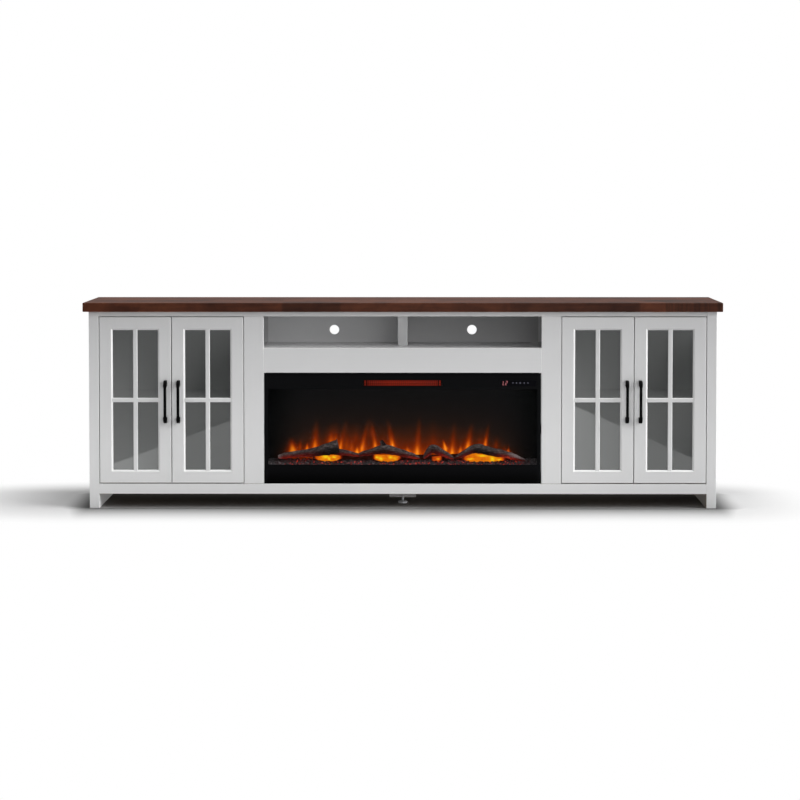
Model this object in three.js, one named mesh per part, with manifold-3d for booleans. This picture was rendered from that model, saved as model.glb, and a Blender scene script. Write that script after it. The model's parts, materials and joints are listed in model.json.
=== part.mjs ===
// Fireplace TV stand: a low cabinet with four framed glass doors, two open cubbies
// and an electric fire set into its centre bay.
// Millimetres, +Z up. The origin is on the floor under the middle of the outline,
// the front faces -Y and +X is on the right of someone who faces it.

import * as THREE from 'three';
import { mergeVertices } from 'three/addons/utils/BufferGeometryUtils.js';
import Module from 'manifold-3d';

const wasm = await Module();
wasm.setup();

// Top board
const topWidth = 2464;
const topDepth = 457;
const topThickness = 35;
const topEase = 2;
const topSideOverhang = 21;
const topFrontOverhang = 20;
const topRearOverhang = 7;

// Case: boards, and the face frame that covers their front edges
const boardThickness = 18;
const boardEase = 1.2;
const frameThickness = 22;
const postWidth = 38;
const stileWidth = 76;
const baseClearance = 55;
const bottomRailHeight = 40;
const fireOpeningWidth = 1072;
const fireOpeningHeight = 430.5;
const headerHeight = 96;
const backThickness = 6;
const backEase = 0.5;

// Clearances and overruns
const fitGap = 0.3;
const cutOverrun = 5;
const mergeTolerance = 0.0001;

// Cubbies above the fire
const cubbyHeight = 122;
const dividerWidth = 38;
const dividerSetback = 135;
const cubbyRearSpace = 85;
const cubbyBackThickness = 12;
const cableHoleDiameter = 38;
const cableHoleOffset = 275;
const cableHoleHeight = 49;
const cableHoleSides = 28;

// Adjustable shelves on pins
const shelfTopHeight = 331;
const shelfFrontGap = 10;
const shelfRearGap = 27;
const shelfSideGap = 1;
const shelfPinDiameter = 5;
const shelfPinGrip = 7;
const shelfPinReach = 9;
const shelfPinSink = 1;
const shelfPinInset = 42;
const shelfPinSides = 8;
const pinHoleDepth = 9;
const pinHolePitch = 32;
const pinHoleSteps = [-1, 0, 1];

// Centre support under the floor board
const supportWidth = 103;
const supportDepth = 80;
const supportSetback = 120;
const supportFootGap = 7;
const footDiameter = 35;
const footHeight = 8;
const footEase = 1.5;
const footSides = 20;
const studDiameter = 8;
const studTopGap = 3;
const studSides = 10;
const levellerTravel = 12;

// Doors
const doorSideGap = 2.5;
const doorMiddleGap = 3;
const doorEndGap = 2.5;
const doorFaceWidth = 45;
const doorSlopeWidth = 6;
const doorSlopeDepth = 6;
const doorEase = 1.5;
const glassThickness = 4;
const glassSetback = 10;
const glassRebate = 6;
const glassSideGap = 0.5;
const muntinWidth = 17;
const muntinSetback = 2;
const muntinEase = 2;

// Door pivots, let into the rails above and below each door
const pivotInset = 7;
const pivotPinDiameter = 5;
const pivotPinLength = 12;
const pivotCollarDiameter = 10;
const pivotPlateLength = 34;
const pivotPlateWidth = 11;
const pivotPlateThickness = 2;
const pivotSides = 10;

// Door handles
const handleLength = 165;
const handleReach = 30;
const handleBarWidth = 8.8;
const handleBarDepth = 9;
const handleFootWidth = 14.7;
const handleFootLength = 15;
const handleFlareLength = 28;
const handleEndLength = 7;
const handleCornerCut = 3;
const handleFromEdge = 24.3;

// Magnetic door catches
const catchWidth = 50;
const catchDepth = 14;
const catchHeight = 14;
const catchGap = 0.5;
const catchEase = 1;

// Electric fire: front
const fireSideGap = 1.5;
const fireEndGap = 1;
const firePlateSetback = 1;
const firePlateThickness = 5;
const firePlateEase = 0.6;
const windowSideBorder = 15.5;
const windowSill = 74;
const windowGlassThickness = 3;
const windowGlassLap = 8;
const outletWidth = 304;
const outletHeight = 24;
const outletDrop = 28;
const outletAboveWindow = 11.5;
const grilleLapHeight = 4;
const grilleLapWidth = 8;
const grilleLapThickness = 2;
const grilleBarWidth = 2.4;
const grilleRailHeight = 2.5;
const grilleSlotCount = 30;
const controlWidth = 140;
const controlInset = 73;
const controlLapWidth = 5;
const controlLapRise = 4.5;
const controlLapDrop = 2;
const controlLapThickness = 3;

// Electric fire: casing
const casingSideGap = 6;
const casingTopGap = 4.5;
const sheetThickness = 2;
const bedShelfDrop = 22;
const bedShelfSetback = 4;
const bedShelfGap = 2;
const earWidth = 28;
const earHeight = 40;
const earSill = 190;
const ventCount = 10;
const ventWidth = 60;
const ventHeight = 6;
const ventPitch = 90;
const ventDrop = 38;

// Electric fire: heater
const ductSideLap = 18;
const ductSillGap = 0.5;
const ductRearSpace = 27;
const elementEndGap = 20;
const elementDepth = 14;
const elementTopGap = 20;
const elementSetback = 12;
const elementRailHeight = 3;
const elementFinCount = 24;
const elementFinThickness = 1.2;
const wheelGap = 2;
const wheelEndGap = 20;
const wheelBehindElement = 26;
const wheelDiscThickness = 2;
const wheelBladeCount = 12;
const wheelBladeChord = 7;
const wheelBladeThickness = 1;
const bladeLean = 0.6;
const shaftDiameter = 6;
const shaftSides = 10;
const motorGap = 4;
const motorLength = 42;
const motorGrip = 15;
const roundSides = 20;

// Electric fire: flame screen and rotor
const screenBehindBed = 8;
const screenThickness = 3;
const screenTopGap = 4;
const rotorBehindScreen = 29;
const rotorRearSpace = 48;
const rotorHeight = 120;
const rotorBossDiameter = 18;
const rotorBossLength = 10;
const rotorMotorDiameter = 36;
const rotorMotorLength = 38;
const rotorTabCount = 12;
const rotorTabLength = 44;
const rotorTabWidth = 30;
const rotorTabThickness = 1.2;
const rotorTabTurn = 2.4;

// Electric fire: logs on their bed of embers
const bedBesideWindow = 4;
const bedDepth = 72;
const bedEdgeHeight = 20;
const bedRise = 14;
const bedSetback = 6;
const emberPitch = 40;
const emberRelief = 6;
const emberColumns = 64;
const emberRows = 4;
const logPileHeight = 88;
const logRadius = 24;
const logSides = 8;
const logSteps = 9;
const knotRelief = 2;
const knotTurns = 3;
// Each row: place along the bed's half width, height in the pile, radius, place from front to back
const logShares = [
  [[-0.925, 0.13, 0.5, 0.42], [-0.77, 0.33, 0.56, 0.44], [-0.63, 0.5, 0.78, 0.5], [-0.485, 0.7, 1, 0.58]],
  [[-0.51, 0.48, 0.5, 0.7], [-0.42, 0.38, 0.45, 0.66], [-0.32, 0.24, 0.4, 0.56]],
  [[-0.335, 0.24, 0.36, 0.5], [-0.23, 0.43, 0.6, 0.52], [-0.13, 0.57, 0.79, 0.52],
    [-0.005, 0.4, 0.65, 0.5], [0.12, 0.1, 0.34, 0.44]],
  [[0.15, 0.1, 0.3, 0.5], [0.24, 0.585, 0.75, 0.52], [0.31, 0.42, 0.6, 0.5], [0.385, 0.1, 0.32, 0.46]],
  [[0.385, 0.12, 0.28, 0.46], [0.5, 0.455, 0.55, 0.5], [0.565, 0.64, 0.68, 0.54],
    [0.66, 0.55, 0.65, 0.54], [0.76, 0.365, 0.51, 0.5], [0.905, 0.07, 0.26, 0.42]],
];
const stubShares = [[-0.14, 0.62, 0.4, 0.52], [-0.16, 0.95, 0.26, 0.5]];

// Electric fire: power inlet
const inletInset = 130;
const inletHeight = 40;
const inletBodyWidth = 46;
const inletBodyHeight = 26;
const inletBodyDepth = 22;
const inletFlangeLap = 4;
const inletFlangeThickness = 3;
const inletSocketWidth = 26;
const inletSocketHeight = 17;
const inletSocketDepth = 16;
const inletBladeWidth = 2;
const inletBladeHeight = 6;
const inletBladeLength = 12;
const inletBladePitch = 7;

// Levels and planes worked out from the sizes above
const handleBeyondTop = Math.max(0, handleReach - topFrontOverhang);
const topFrontY = handleBeyondTop - (topDepth + handleBeyondTop) / 2;
const topBackY = topFrontY + topDepth;
const frontY = topFrontY + topFrontOverhang;
const backY = topBackY - topRearOverhang;
const frameBackY = frontY + frameThickness;
const floorZ = baseClearance + bottomRailHeight;
const doorOpeningHeight = fireOpeningHeight + headerHeight + cubbyHeight;
const subTopZ = floorZ + doorOpeningHeight;
const caseHeight = subTopZ + boardThickness;
const caseHalfWidth = topWidth / 2 - topSideOverhang;
const sideX = caseHalfWidth - postWidth;
const bayX = fireOpeningWidth / 2;
const partitionX = bayX + stileWidth;
const partitionInnerX = partitionX - boardThickness;
const headerZ = floorZ + fireOpeningHeight;
const cubbyFloorZ = headerZ + headerHeight;
const cubbyBackY = backY - cubbyRearSpace;
const boardBackY = backY - backThickness;
const doorWidth = (sideX - partitionX - 2 * doorSideGap - doorMiddleGap) / 2;
const doorHeight = doorOpeningHeight - 2 * doorEndGap;
const shelfZ = floorZ + shelfTopHeight - boardThickness;
const shelfPinZ = shelfZ + shelfPinSink - shelfPinDiameter / 2;
const shelfFrontY = frameBackY + shelfFrontGap;
const shelfBackY = boardBackY - shelfRearGap;
const fireZ = floorZ;

// Colours and surfaces
const finishes = {
  whitePaint: { color: 0xd3d4d5, roughness: 0.55, metalness: 0 },
  darkWood: { color: 0x4a2a20, roughness: 0.45, metalness: 0 },
  blackMetal: { color: 0x131314, roughness: 0.4, metalness: 0.6 },
  clearGlass: { color: 0xb9c2be, roughness: 0.05, metalness: 0, opacity: 0.35, transparent: true },
  smokedGlass: { color: 0x2a2c2c, roughness: 0.05, metalness: 0, opacity: 0.4, transparent: true },
  steel: { color: 0x9a9c9f, roughness: 0.35, metalness: 0.9 },
  blackPlastic: { color: 0x161617, roughness: 0.5, metalness: 0 },
  hotElement: { color: 0x7c1a0c, roughness: 0.6, metalness: 0.2 },
  flameScreen: { color: 0x2b1a12, roughness: 0.4, metalness: 0 },
  charredWood: { color: 0x4a3c36, roughness: 0.85, metalness: 0 },
};

const stand = new THREE.Group();

// A mesh whose own origin is the middle of its shape
function piece(parent, name, geometry, finish) {
  geometry.computeBoundingBox();
  const centre = geometry.boundingBox.getCenter(new THREE.Vector3());
  geometry.translate(-centre.x, -centre.y, -centre.z);
  geometry.computeVertexNormals();
  const mesh = new THREE.Mesh(geometry, new THREE.MeshStandardMaterial(finishes[finish]));
  mesh.name = name;
  mesh.position.copy(centre);
  parent.add(mesh);
}

function placedGroup(parent, x, y, z) {
  const group = new THREE.Group();
  group.position.set(x, y, z);
  parent.add(group);
  return group;
}

function outlineOf(points) {
  return new THREE.Shape(points.map(([x, y]) => new THREE.Vector2(x, y)));
}

// A plain block between its low and high corners
function block(low, high) {
  const sizes = high.map((value, axis) => value - low[axis]);
  const middle = high.map((value, axis) => (value + low[axis]) / 2);
  return new THREE.BoxGeometry(...sizes).translate(...middle);
}

// A board between its low and high corners, with every edge eased at 45 degrees
function board(low, high, ease = boardEase) {
  const [halfWidth, halfDepth] = [(high[0] - low[0]) / 2, (high[1] - low[1]) / 2];
  const outline = outlineOf([
    [halfWidth, ease - halfDepth],
    [halfWidth, halfDepth - ease],
    [halfWidth - ease, halfDepth],
    [ease - halfWidth, halfDepth],
    [-halfWidth, halfDepth - ease],
    [-halfWidth, ease - halfDepth],
    [ease - halfWidth, -halfDepth],
    [halfWidth - ease, -halfDepth],
  ]);
  const geometry = new THREE.ExtrudeGeometry(outline, {
    depth: high[2] - low[2] - 2 * ease,
    steps: 1,
    bevelThickness: ease,
    bevelSize: ease,
    bevelOffset: -ease,
    bevelSegments: 1,
  });
  return geometry.translate(low[0] + halfWidth, low[1] + halfDepth, low[2] + ease);
}

// A round bar along one axis, between two places on it
function bar(axis, from, to, diameter, sides, centre) {
  const geometry = new THREE.CylinderGeometry(diameter / 2, diameter / 2, to - from, sides);
  const middle = (from + to) / 2;
  if (axis === 'x') return geometry.rotateZ(-Math.PI / 2).translate(middle, centre[0], centre[1]);
  if (axis === 'y') return geometry.translate(centre[0], middle, centre[1]);
  return geometry.rotateX(Math.PI / 2).translate(centre[0], centre[1], middle);
}

// A six-sided wedge between a front rectangle and a back rectangle, both upright
function taper(front, back) {
  const corners = [front, back].flatMap(({ y, x, z }) => [
    x[0], y, z[0], x[1], y, z[0], x[1], y, z[1], x[0], y, z[1],
  ]);
  const geometry = new THREE.BufferGeometry();
  geometry.setAttribute('position', new THREE.Float32BufferAttribute(corners, 3));
  geometry.setIndex([
    0, 1, 2, 0, 2, 3, 4, 6, 5, 4, 7, 6, 0, 4, 5, 0, 5, 1,
    1, 5, 6, 1, 6, 2, 2, 6, 7, 2, 7, 3, 3, 7, 4, 3, 4, 0,
  ]);
  return geometry;
}

// Joining and cutting
function solidOf(geometry) {
  const bare = geometry.clone();
  bare.deleteAttribute('normal');
  bare.deleteAttribute('uv');
  const merged = mergeVertices(bare, mergeTolerance);
  return new wasm.Manifold(new wasm.Mesh({
    numProp: 3,
    vertProperties: merged.attributes.position.array,
    triVerts: new Uint32Array(merged.index.array),
  }));
}

function geometryOf(solid) {
  const mesh = solid.getMesh();
  const geometry = new THREE.BufferGeometry();
  geometry.setAttribute('position', new THREE.BufferAttribute(mesh.vertProperties, 3));
  geometry.setIndex(new THREE.BufferAttribute(mesh.triVerts, 1));
  return geometry;
}

function join(geometries) {
  return geometryOf(geometries.map(solidOf).reduce((whole, part) => whole.add(part)));
}

function cut(geometry, tools) {
  return geometryOf(tools.map(solidOf).reduce((whole, tool) => whole.subtract(tool), solidOf(geometry)));
}

function common(first, second) {
  return geometryOf(solidOf(first).intersect(solidOf(second)));
}

// The four doors: the X of the hinged edge, and which way the door runs from it
const doors = [
  { name: 'left_outer_door', hingeX: -sideX + doorSideGap, way: 1 },
  { name: 'left_inner_door', hingeX: -partitionX - doorSideGap, way: -1 },
  { name: 'right_inner_door', hingeX: partitionX + doorSideGap, way: 1 },
  { name: 'right_outer_door', hingeX: sideX - doorSideGap, way: -1 },
];

// Outline of a pivot's plate, with the pin at its origin and the plate running towards +X
function pivotOutline(gap) {
  const radius = pivotPlateWidth / 2 + gap;
  const outline = new THREE.Shape();
  outline.absarc(0, 0, radius, Math.PI / 2, -Math.PI / 2);
  outline.absarc(pivotPlateLength - pivotPlateWidth, 0, radius, -Math.PI / 2, Math.PI / 2);
  return outline;
}

function pivotSlab(gap, from, to) {
  return new THREE.ExtrudeGeometry(pivotOutline(gap), {
    depth: to - from,
    bevelEnabled: false,
    curveSegments: pivotSides / 2,
  }).translate(0, 0, from);
}

function pivotPlace(door, z, up) {
  const place = new THREE.Object3D();
  place.position.set(door.hingeX + door.way * pivotInset, frontY + pivotInset, z);
  place.rotation.set(up ? 0 : Math.PI, 0, door.way > 0 ? 0 : Math.PI, 'ZYX');
  place.updateMatrix();
  return place.matrix;
}

// Pockets that take the pivot plates: seen from inside the opening, up is out of the rail
function pivotPockets(z, up) {
  const sunk = pivotPlateThickness + fitGap;
  return doors.map((door) => pivotSlab(fitGap, -sunk, cutOverrun).applyMatrix4(pivotPlace(door, z, up)));
}

function pivot() {
  const collarTop = doorEndGap - fitGap;
  return join([
    pivotSlab(0, -pivotPlateThickness, 0),
    bar('z', -pivotPlateThickness / 2, collarTop, pivotCollarDiameter, pivotSides, [0, 0]),
    bar('z', 0, collarTop + pivotPinLength, pivotPinDiameter, pivotSides, [0, 0]),
  ]);
}

// Blind holes for shelf pins in an upright face at faceX
function pinHoles(faceX) {
  const holes = [];
  for (const y of [shelfFrontY + shelfPinInset, shelfBackY - shelfPinInset]) {
    for (const step of pinHoleSteps) {
      const place = [y, shelfPinZ + step * pinHolePitch];
      const diameter = shelfPinDiameter + 2 * fitGap;
      holes.push(bar('x', faceX - pinHoleDepth, faceX + pinHoleDepth, diameter, shelfPinSides, place));
    }
  }
  return holes;
}

function addCase() {
  piece(stand, 'top_board', board(
    [-topWidth / 2, topFrontY, caseHeight],
    [topWidth / 2, topBackY, caseHeight + topThickness],
    topEase,
  ), 'darkWood');
  const subTop = board([-sideX, frontY, subTopZ], [sideX, boardBackY, caseHeight]);
  piece(stand, 'sub_top', cut(subTop, pivotPockets(subTopZ, false)), 'whitePaint');
  const rail = board([-sideX, frontY, baseClearance], [sideX, frameBackY, floorZ]);
  piece(stand, 'bottom_rail', cut(rail, pivotPockets(floorZ, true)), 'whitePaint');
  piece(stand, 'floor_board', board(
    [-sideX, frameBackY, floorZ - boardThickness],
    [sideX, boardBackY, floorZ],
  ), 'whitePaint');
  piece(stand, 'header_rail', board(
    [-bayX, frontY, headerZ],
    [bayX, frameBackY, cubbyFloorZ],
  ), 'whitePaint');
  for (const [side, name] of [[-1, 'left'], [1, 'right']]) {
    addCaseSide(side, name);
  }
}

// Low and high X of a span that is given from the middle outwards
function mirrored(side, inner, outer) {
  return side > 0 ? [inner, outer] : [-outer, -inner];
}

function addCaseSide(side, name) {
  const post = mirrored(side, sideX, caseHalfWidth);
  piece(stand, `${name}_corner_post`, board(
    [post[0], frontY, 0],
    [post[1], frameBackY, caseHeight],
  ), 'whitePaint');
  const endPanel = board([post[0], frameBackY, 0], [post[1], backY, caseHeight]);
  piece(stand, `${name}_end_panel`, cut(endPanel, pinHoles(side * sideX)), 'whitePaint');
  const stile = mirrored(side, bayX, partitionX);
  piece(stand, `${name}_stile`, board(
    [stile[0], frontY, floorZ],
    [stile[1], frameBackY, subTopZ],
  ), 'whitePaint');
  const partition = mirrored(side, partitionInnerX, partitionX);
  const upright = board([partition[0], frameBackY, floorZ], [partition[1], boardBackY, subTopZ]);
  piece(stand, `${name}_partition`, cut(upright, pinHoles(side * partitionX)), 'whitePaint');
  const back = mirrored(side, partitionInnerX, sideX);
  piece(stand, `${name}_back_panel`, board(
    [back[0], boardBackY, floorZ - boardThickness],
    [back[1], backY, caseHeight],
    backEase,
  ), 'whitePaint');
  addShelf(side, name);
  const middle = side * (partitionX + doorSideGap + doorWidth + doorMiddleGap / 2);
  piece(stand, `${name}_door_catch`, board(
    [middle - catchWidth / 2, frameBackY + catchGap, subTopZ - catchHeight],
    [middle + catchWidth / 2, frameBackY + catchGap + catchDepth, subTopZ],
    catchEase,
  ), 'steel');
}

// A shelf with the four pins that carry it, which reach into holes in both uprights
function addShelf(side, name) {
  const [low, high] = mirrored(side, partitionX, sideX);
  const parts = [board(
    [low + shelfSideGap, shelfFrontY, shelfZ],
    [high - shelfSideGap, shelfBackY, shelfZ + boardThickness],
  )];
  for (const y of [shelfFrontY + shelfPinInset, shelfBackY - shelfPinInset]) {
    for (const [face, inwards] of [[low, 1], [high, -1]]) {
      const ends = [face - inwards * shelfPinGrip, face + inwards * shelfPinReach].sort((a, b) => a - b);
      parts.push(bar('x', ends[0], ends[1], shelfPinDiameter, shelfPinSides, [y, shelfPinZ]));
    }
  }
  piece(stand, `${name}_shelf`, join(parts), 'whitePaint');
}

function addCubbies() {
  piece(stand, 'cubby_shelf', board(
    [-partitionInnerX, frameBackY, cubbyFloorZ - boardThickness],
    [partitionInnerX, cubbyBackY, cubbyFloorZ],
  ), 'whitePaint');
  piece(stand, 'cubby_divider', board(
    [-dividerWidth / 2, frontY + dividerSetback, cubbyFloorZ],
    [dividerWidth / 2, cubbyBackY, subTopZ],
  ), 'whitePaint');
  const back = board(
    [-partitionInnerX, cubbyBackY, cubbyFloorZ - boardThickness],
    [partitionInnerX, cubbyBackY + cubbyBackThickness, subTopZ],
  );
  const holes = [-cableHoleOffset, cableHoleOffset].map((x) => bar(
    'y',
    cubbyBackY - cutOverrun,
    cubbyBackY + cubbyBackThickness + cutOverrun,
    cableHoleDiameter,
    cableHoleSides,
    [x, cubbyFloorZ + cableHoleHeight],
  ));
  piece(stand, 'cubby_back', cut(back, holes), 'whitePaint');
}

// The block under the floor board, and the foot on a stud that screws up into it
function addCentreSupport() {
  const supportTop = floorZ - boardThickness;
  const supportFrontY = frontY + supportSetback;
  const footY = supportFrontY + supportDepth / 2;
  const studTop = supportTop - studTopGap - levellerTravel;
  const beam = board(
    [-supportWidth / 2, supportFrontY, footHeight + levellerTravel + supportFootGap],
    [supportWidth / 2, supportFrontY + supportDepth, supportTop],
  );
  const boreTop = studTop + levellerTravel + fitGap;
  const bore = bar('z', 0, boreTop, studDiameter + 2 * fitGap, studSides, [0, footY]);
  piece(stand, 'centre_support', cut(beam, [bore]), 'whitePaint');
  const outline = [
    new THREE.Vector2(0, 0),
    new THREE.Vector2(footDiameter / 2 - footEase, 0),
    new THREE.Vector2(footDiameter / 2, footEase),
    new THREE.Vector2(footDiameter / 2, footHeight - footEase),
    new THREE.Vector2(footDiameter / 2 - footEase, footHeight),
    new THREE.Vector2(0, footHeight),
  ];
  const foot = new THREE.LatheGeometry(outline, footSides).rotateX(Math.PI / 2).translate(0, footY, 0);
  const stud = bar('z', footHeight / 2, studTop, studDiameter, studSides, [0, footY]);
  piece(stand, 'centre_leveller', join([foot, stud]), 'steel');
}

// The space inside a door frame that its sloped inner edges leave, less a gap all round
function doorSpace(gap, backDepth) {
  const slope = doorSlopeWidth / doorSlopeDepth;
  const frontInset = doorFaceWidth - cutOverrun * slope + gap;
  const innerInset = doorFaceWidth + doorSlopeWidth + gap;
  const rectangle = (inset, y) => ({ y, x: [inset, doorWidth - inset], z: [inset, doorHeight - inset] });
  const sloped = taper(rectangle(frontInset, -cutOverrun), rectangle(innerInset, doorSlopeDepth));
  const straight = block(
    [innerInset, 0, innerInset],
    [doorWidth - innerInset, backDepth, doorHeight - innerInset],
  );
  return join([sloped, straight]);
}

function doorFrame(pinX) {
  const rebateInset = doorFaceWidth + doorSlopeWidth - glassRebate;
  const holeDepth = pivotPinLength + fitGap;
  const holeDiameter = pivotPinDiameter + 2 * fitGap;
  return cut(board([0, 0, 0], [doorWidth, frameThickness, doorHeight], doorEase), [
    doorSpace(0, frameThickness + cutOverrun),
    block(
      [rebateInset, glassSetback, rebateInset],
      [doorWidth - rebateInset, frameThickness + cutOverrun, doorHeight - rebateInset],
    ),
    bar('z', -cutOverrun, holeDepth, holeDiameter, pivotSides, [pinX, pivotInset]),
    bar('z', doorHeight - holeDepth, doorHeight + cutOverrun, holeDiameter, pivotSides, [pinX, pivotInset]),
  ]);
}

// The cross of bars in front of the glass, its ends shaped to the frame's sloped edges
function doorMuntins() {
  const [halfBar, middleX, middleZ] = [muntinWidth / 2, doorWidth / 2, doorHeight / 2];
  const cross = join([
    board([middleX - halfBar, muntinSetback, 0], [middleX + halfBar, glassSetback, doorHeight], muntinEase),
    board([0, muntinSetback, middleZ - halfBar], [doorWidth, glassSetback, middleZ + halfBar], muntinEase),
  ]);
  return common(cross, doorSpace(fitGap, glassSetback + cutOverrun));
}

// A bar pull: its side outline carried across, and its front outline carried back
function handle() {
  const halfLength = handleLength / 2;
  const barBack = handleReach - handleBarDepth;
  const footEnd = halfLength - handleFootLength;
  const outer = [
    [halfLength, 0],
    [halfLength, handleReach - handleCornerCut],
    [halfLength - handleCornerCut, handleReach],
  ];
  const inner = [
    [footEnd - 2 * handleCornerCut, barBack],
    [footEnd - handleCornerCut, barBack - handleCornerCut],
    [footEnd, 0],
  ];
  const otherEnd = (points) => points.map(([along, out]) => [-along, out]).reverse();
  const side = outlineOf([...outer, ...otherEnd(outer), ...otherEnd(inner), ...inner]);
  const sideSolid = new THREE.ExtrudeGeometry(side, { depth: handleFootWidth, bevelEnabled: false });
  const upright = new THREE.Vector3(0, 0, 1);
  const outwards = new THREE.Vector3(0, -1, 0);
  const across = new THREE.Vector3(1, 0, 0);
  sideSolid.translate(0, 0, -handleFootWidth / 2);
  sideSolid.applyMatrix4(new THREE.Matrix4().makeBasis(upright, outwards, across));
  const [halfFoot, halfBar] = [handleFootWidth / 2, handleBarWidth / 2];
  const flare = [
    [halfFoot, halfLength],
    [halfFoot, halfLength - handleEndLength],
    [halfBar, halfLength - handleFlareLength],
  ];
  const right = [...flare, ...flare.map(([width, along]) => [width, -along]).reverse()];
  const front = outlineOf([...right, ...right.map(([width, along]) => [-width, along]).reverse()]);
  const frontSolid = new THREE.ExtrudeGeometry(front, {
    depth: handleReach + cutOverrun,
    bevelEnabled: false,
  });
  return common(sideSolid, frontSolid.rotateX(Math.PI / 2));
}

function addDoor(door) {
  const lowX = door.way > 0 ? door.hingeX : door.hingeX - doorWidth;
  const group = placedGroup(stand, lowX, frontY, floorZ + doorEndGap);
  const fromHinge = (distance) => (door.way > 0 ? distance : doorWidth - distance);
  piece(group, `${door.name}_frame`, doorFrame(fromHinge(pivotInset)), 'whitePaint');
  piece(group, `${door.name}_muntins`, doorMuntins(), 'whitePaint');
  const glassInset = doorFaceWidth + doorSlopeWidth - glassRebate + glassSideGap;
  piece(group, `${door.name}_glass`, block(
    [glassInset, glassSetback, glassInset],
    [doorWidth - glassInset, glassSetback + glassThickness, doorHeight - glassInset],
  ), 'clearGlass');
  const handleX = fromHinge(doorWidth - handleFromEdge);
  piece(group, `${door.name}_handle`, handle().translate(handleX, 0, doorHeight / 2), 'blackMetal');
  for (const [level, z, up] of [['bottom', floorZ, true], ['top', subTopZ, false]]) {
    const geometry = pivot().applyMatrix4(pivotPlace(door, z, up));
    piece(stand, `${door.name}_${level}_pivot`, geometry, 'steel');
  }
}

// The electric fire, in a group whose origin is on the floor board at the case front
const fire = placedGroup(stand, 0, frontY, fireZ);
const plateBackY = firePlateSetback + firePlateThickness;
const outletSill = fireOpeningHeight - outletDrop - outletHeight;
const windowWidth = fireOpeningWidth - 2 * (fireSideGap + windowSideBorder);
const windowHeight = outletSill - outletAboveWindow - windowSill;
const controlCentre = windowWidth / 2 - controlInset;
const bedShelfHeight = windowSill - bedShelfDrop;
const bedZ = bedShelfHeight + sheetThickness;
const bedWidth = windowWidth + 2 * bedBesideWindow;
const bedFrontY = plateBackY + bedSetback;
const screenFrontY = bedFrontY + bedDepth + screenBehindBed;
const rotorSetback = screenFrontY + screenThickness + rotorBehindScreen;
const casingWidth = fireOpeningWidth - 2 * casingSideGap;
const casingHeight = fireOpeningHeight - casingTopGap;
const casingBackY = rotorSetback + rotorRearSpace;
const casingInnerX = casingWidth / 2 - sheetThickness;
const inletCentre = casingWidth / 2 - inletInset;
const ductZ = outletSill - ductSillGap - sheetThickness;
const ductFloorZ = ductZ + sheetThickness;
const ductWidth = outletWidth + 2 * ductSideLap;
const ductHeight = casingHeight - sheetThickness - ductZ;
const elementBackY = plateBackY + elementSetback + elementDepth;
const wheelDiameter = ductHeight - 2 * (sheetThickness + wheelGap);
const wheelLength = ductWidth - 2 * wheelEndGap;
const wheelSetback = elementBackY + wheelBehindElement + wheelDiameter / 2;
const wheelZ = ductZ + ductHeight / 2;
const ductBackY = wheelSetback + wheelDiameter / 2 + ductRearSpace;

function addFireFront() {
  const plate = board(
    [fireSideGap - bayX, firePlateSetback, fireEndGap],
    [bayX - fireSideGap, plateBackY, fireOpeningHeight - fireEndGap],
    firePlateEase,
  );
  const opening = (low, high, sill, height) => block(
    [low, firePlateSetback - cutOverrun, sill],
    [high, plateBackY + cutOverrun, sill + height],
  );
  const controlLow = controlCentre - controlWidth / 2;
  const controlHigh = controlCentre + controlWidth / 2;
  piece(fire, 'fire_front_plate', cut(plate, [
    opening(-windowWidth / 2, windowWidth / 2, windowSill, windowHeight),
    opening(-outletWidth / 2, outletWidth / 2, outletSill, outletHeight),
    opening(controlLow, controlHigh, outletSill, outletHeight),
  ]), 'blackMetal');
  const glassHalfWidth = windowWidth / 2 + windowGlassLap;
  const glassTop = windowSill + windowHeight + windowGlassLap;
  piece(fire, 'fire_window_glass', block(
    [-glassHalfWidth, plateBackY, windowSill - windowGlassLap],
    [glassHalfWidth, plateBackY + windowGlassThickness, glassTop],
  ), 'smokedGlass');
  piece(fire, 'heater_grille', grille(), 'blackMetal');
  const controlBackY = plateBackY + controlLapThickness;
  const outletTop = outletSill + outletHeight;
  piece(fire, 'control_panel', join([
    block(
      [controlLow + fitGap, firePlateSetback, outletSill + fitGap],
      [controlHigh - fitGap, controlBackY, outletTop - fitGap],
    ),
    block(
      [controlLow - controlLapWidth, plateBackY, outletSill - controlLapDrop],
      [controlHigh + controlLapWidth, controlBackY, outletTop + controlLapRise],
    ),
  ]), 'blackPlastic');
}

// The outlet grille: a lap behind the plate, and upright bars that fill the slot
function grille() {
  const halfWidth = outletWidth / 2 - fitGap;
  const [low, high] = [outletSill + fitGap, outletSill + outletHeight - fitGap];
  const body = join([
    block([-halfWidth, firePlateSetback, low], [halfWidth, plateBackY + grilleLapThickness, high]),
    block(
      [-halfWidth - grilleLapWidth, plateBackY, low],
      [halfWidth + grilleLapWidth, plateBackY + grilleLapThickness, high + grilleLapHeight],
    ),
  ]);
  const pitch = (2 * halfWidth - grilleBarWidth) / grilleSlotCount;
  const slots = [];
  for (let index = 0; index < grilleSlotCount; index += 1) {
    const slotX = -halfWidth + grilleBarWidth + index * pitch;
    slots.push(block(
      [slotX, firePlateSetback - cutOverrun, low + grilleRailHeight],
      [slotX + pitch - grilleBarWidth, plateBackY + cutOverrun, high - grilleRailHeight],
    ));
  }
  return cut(body, slots);
}

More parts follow.
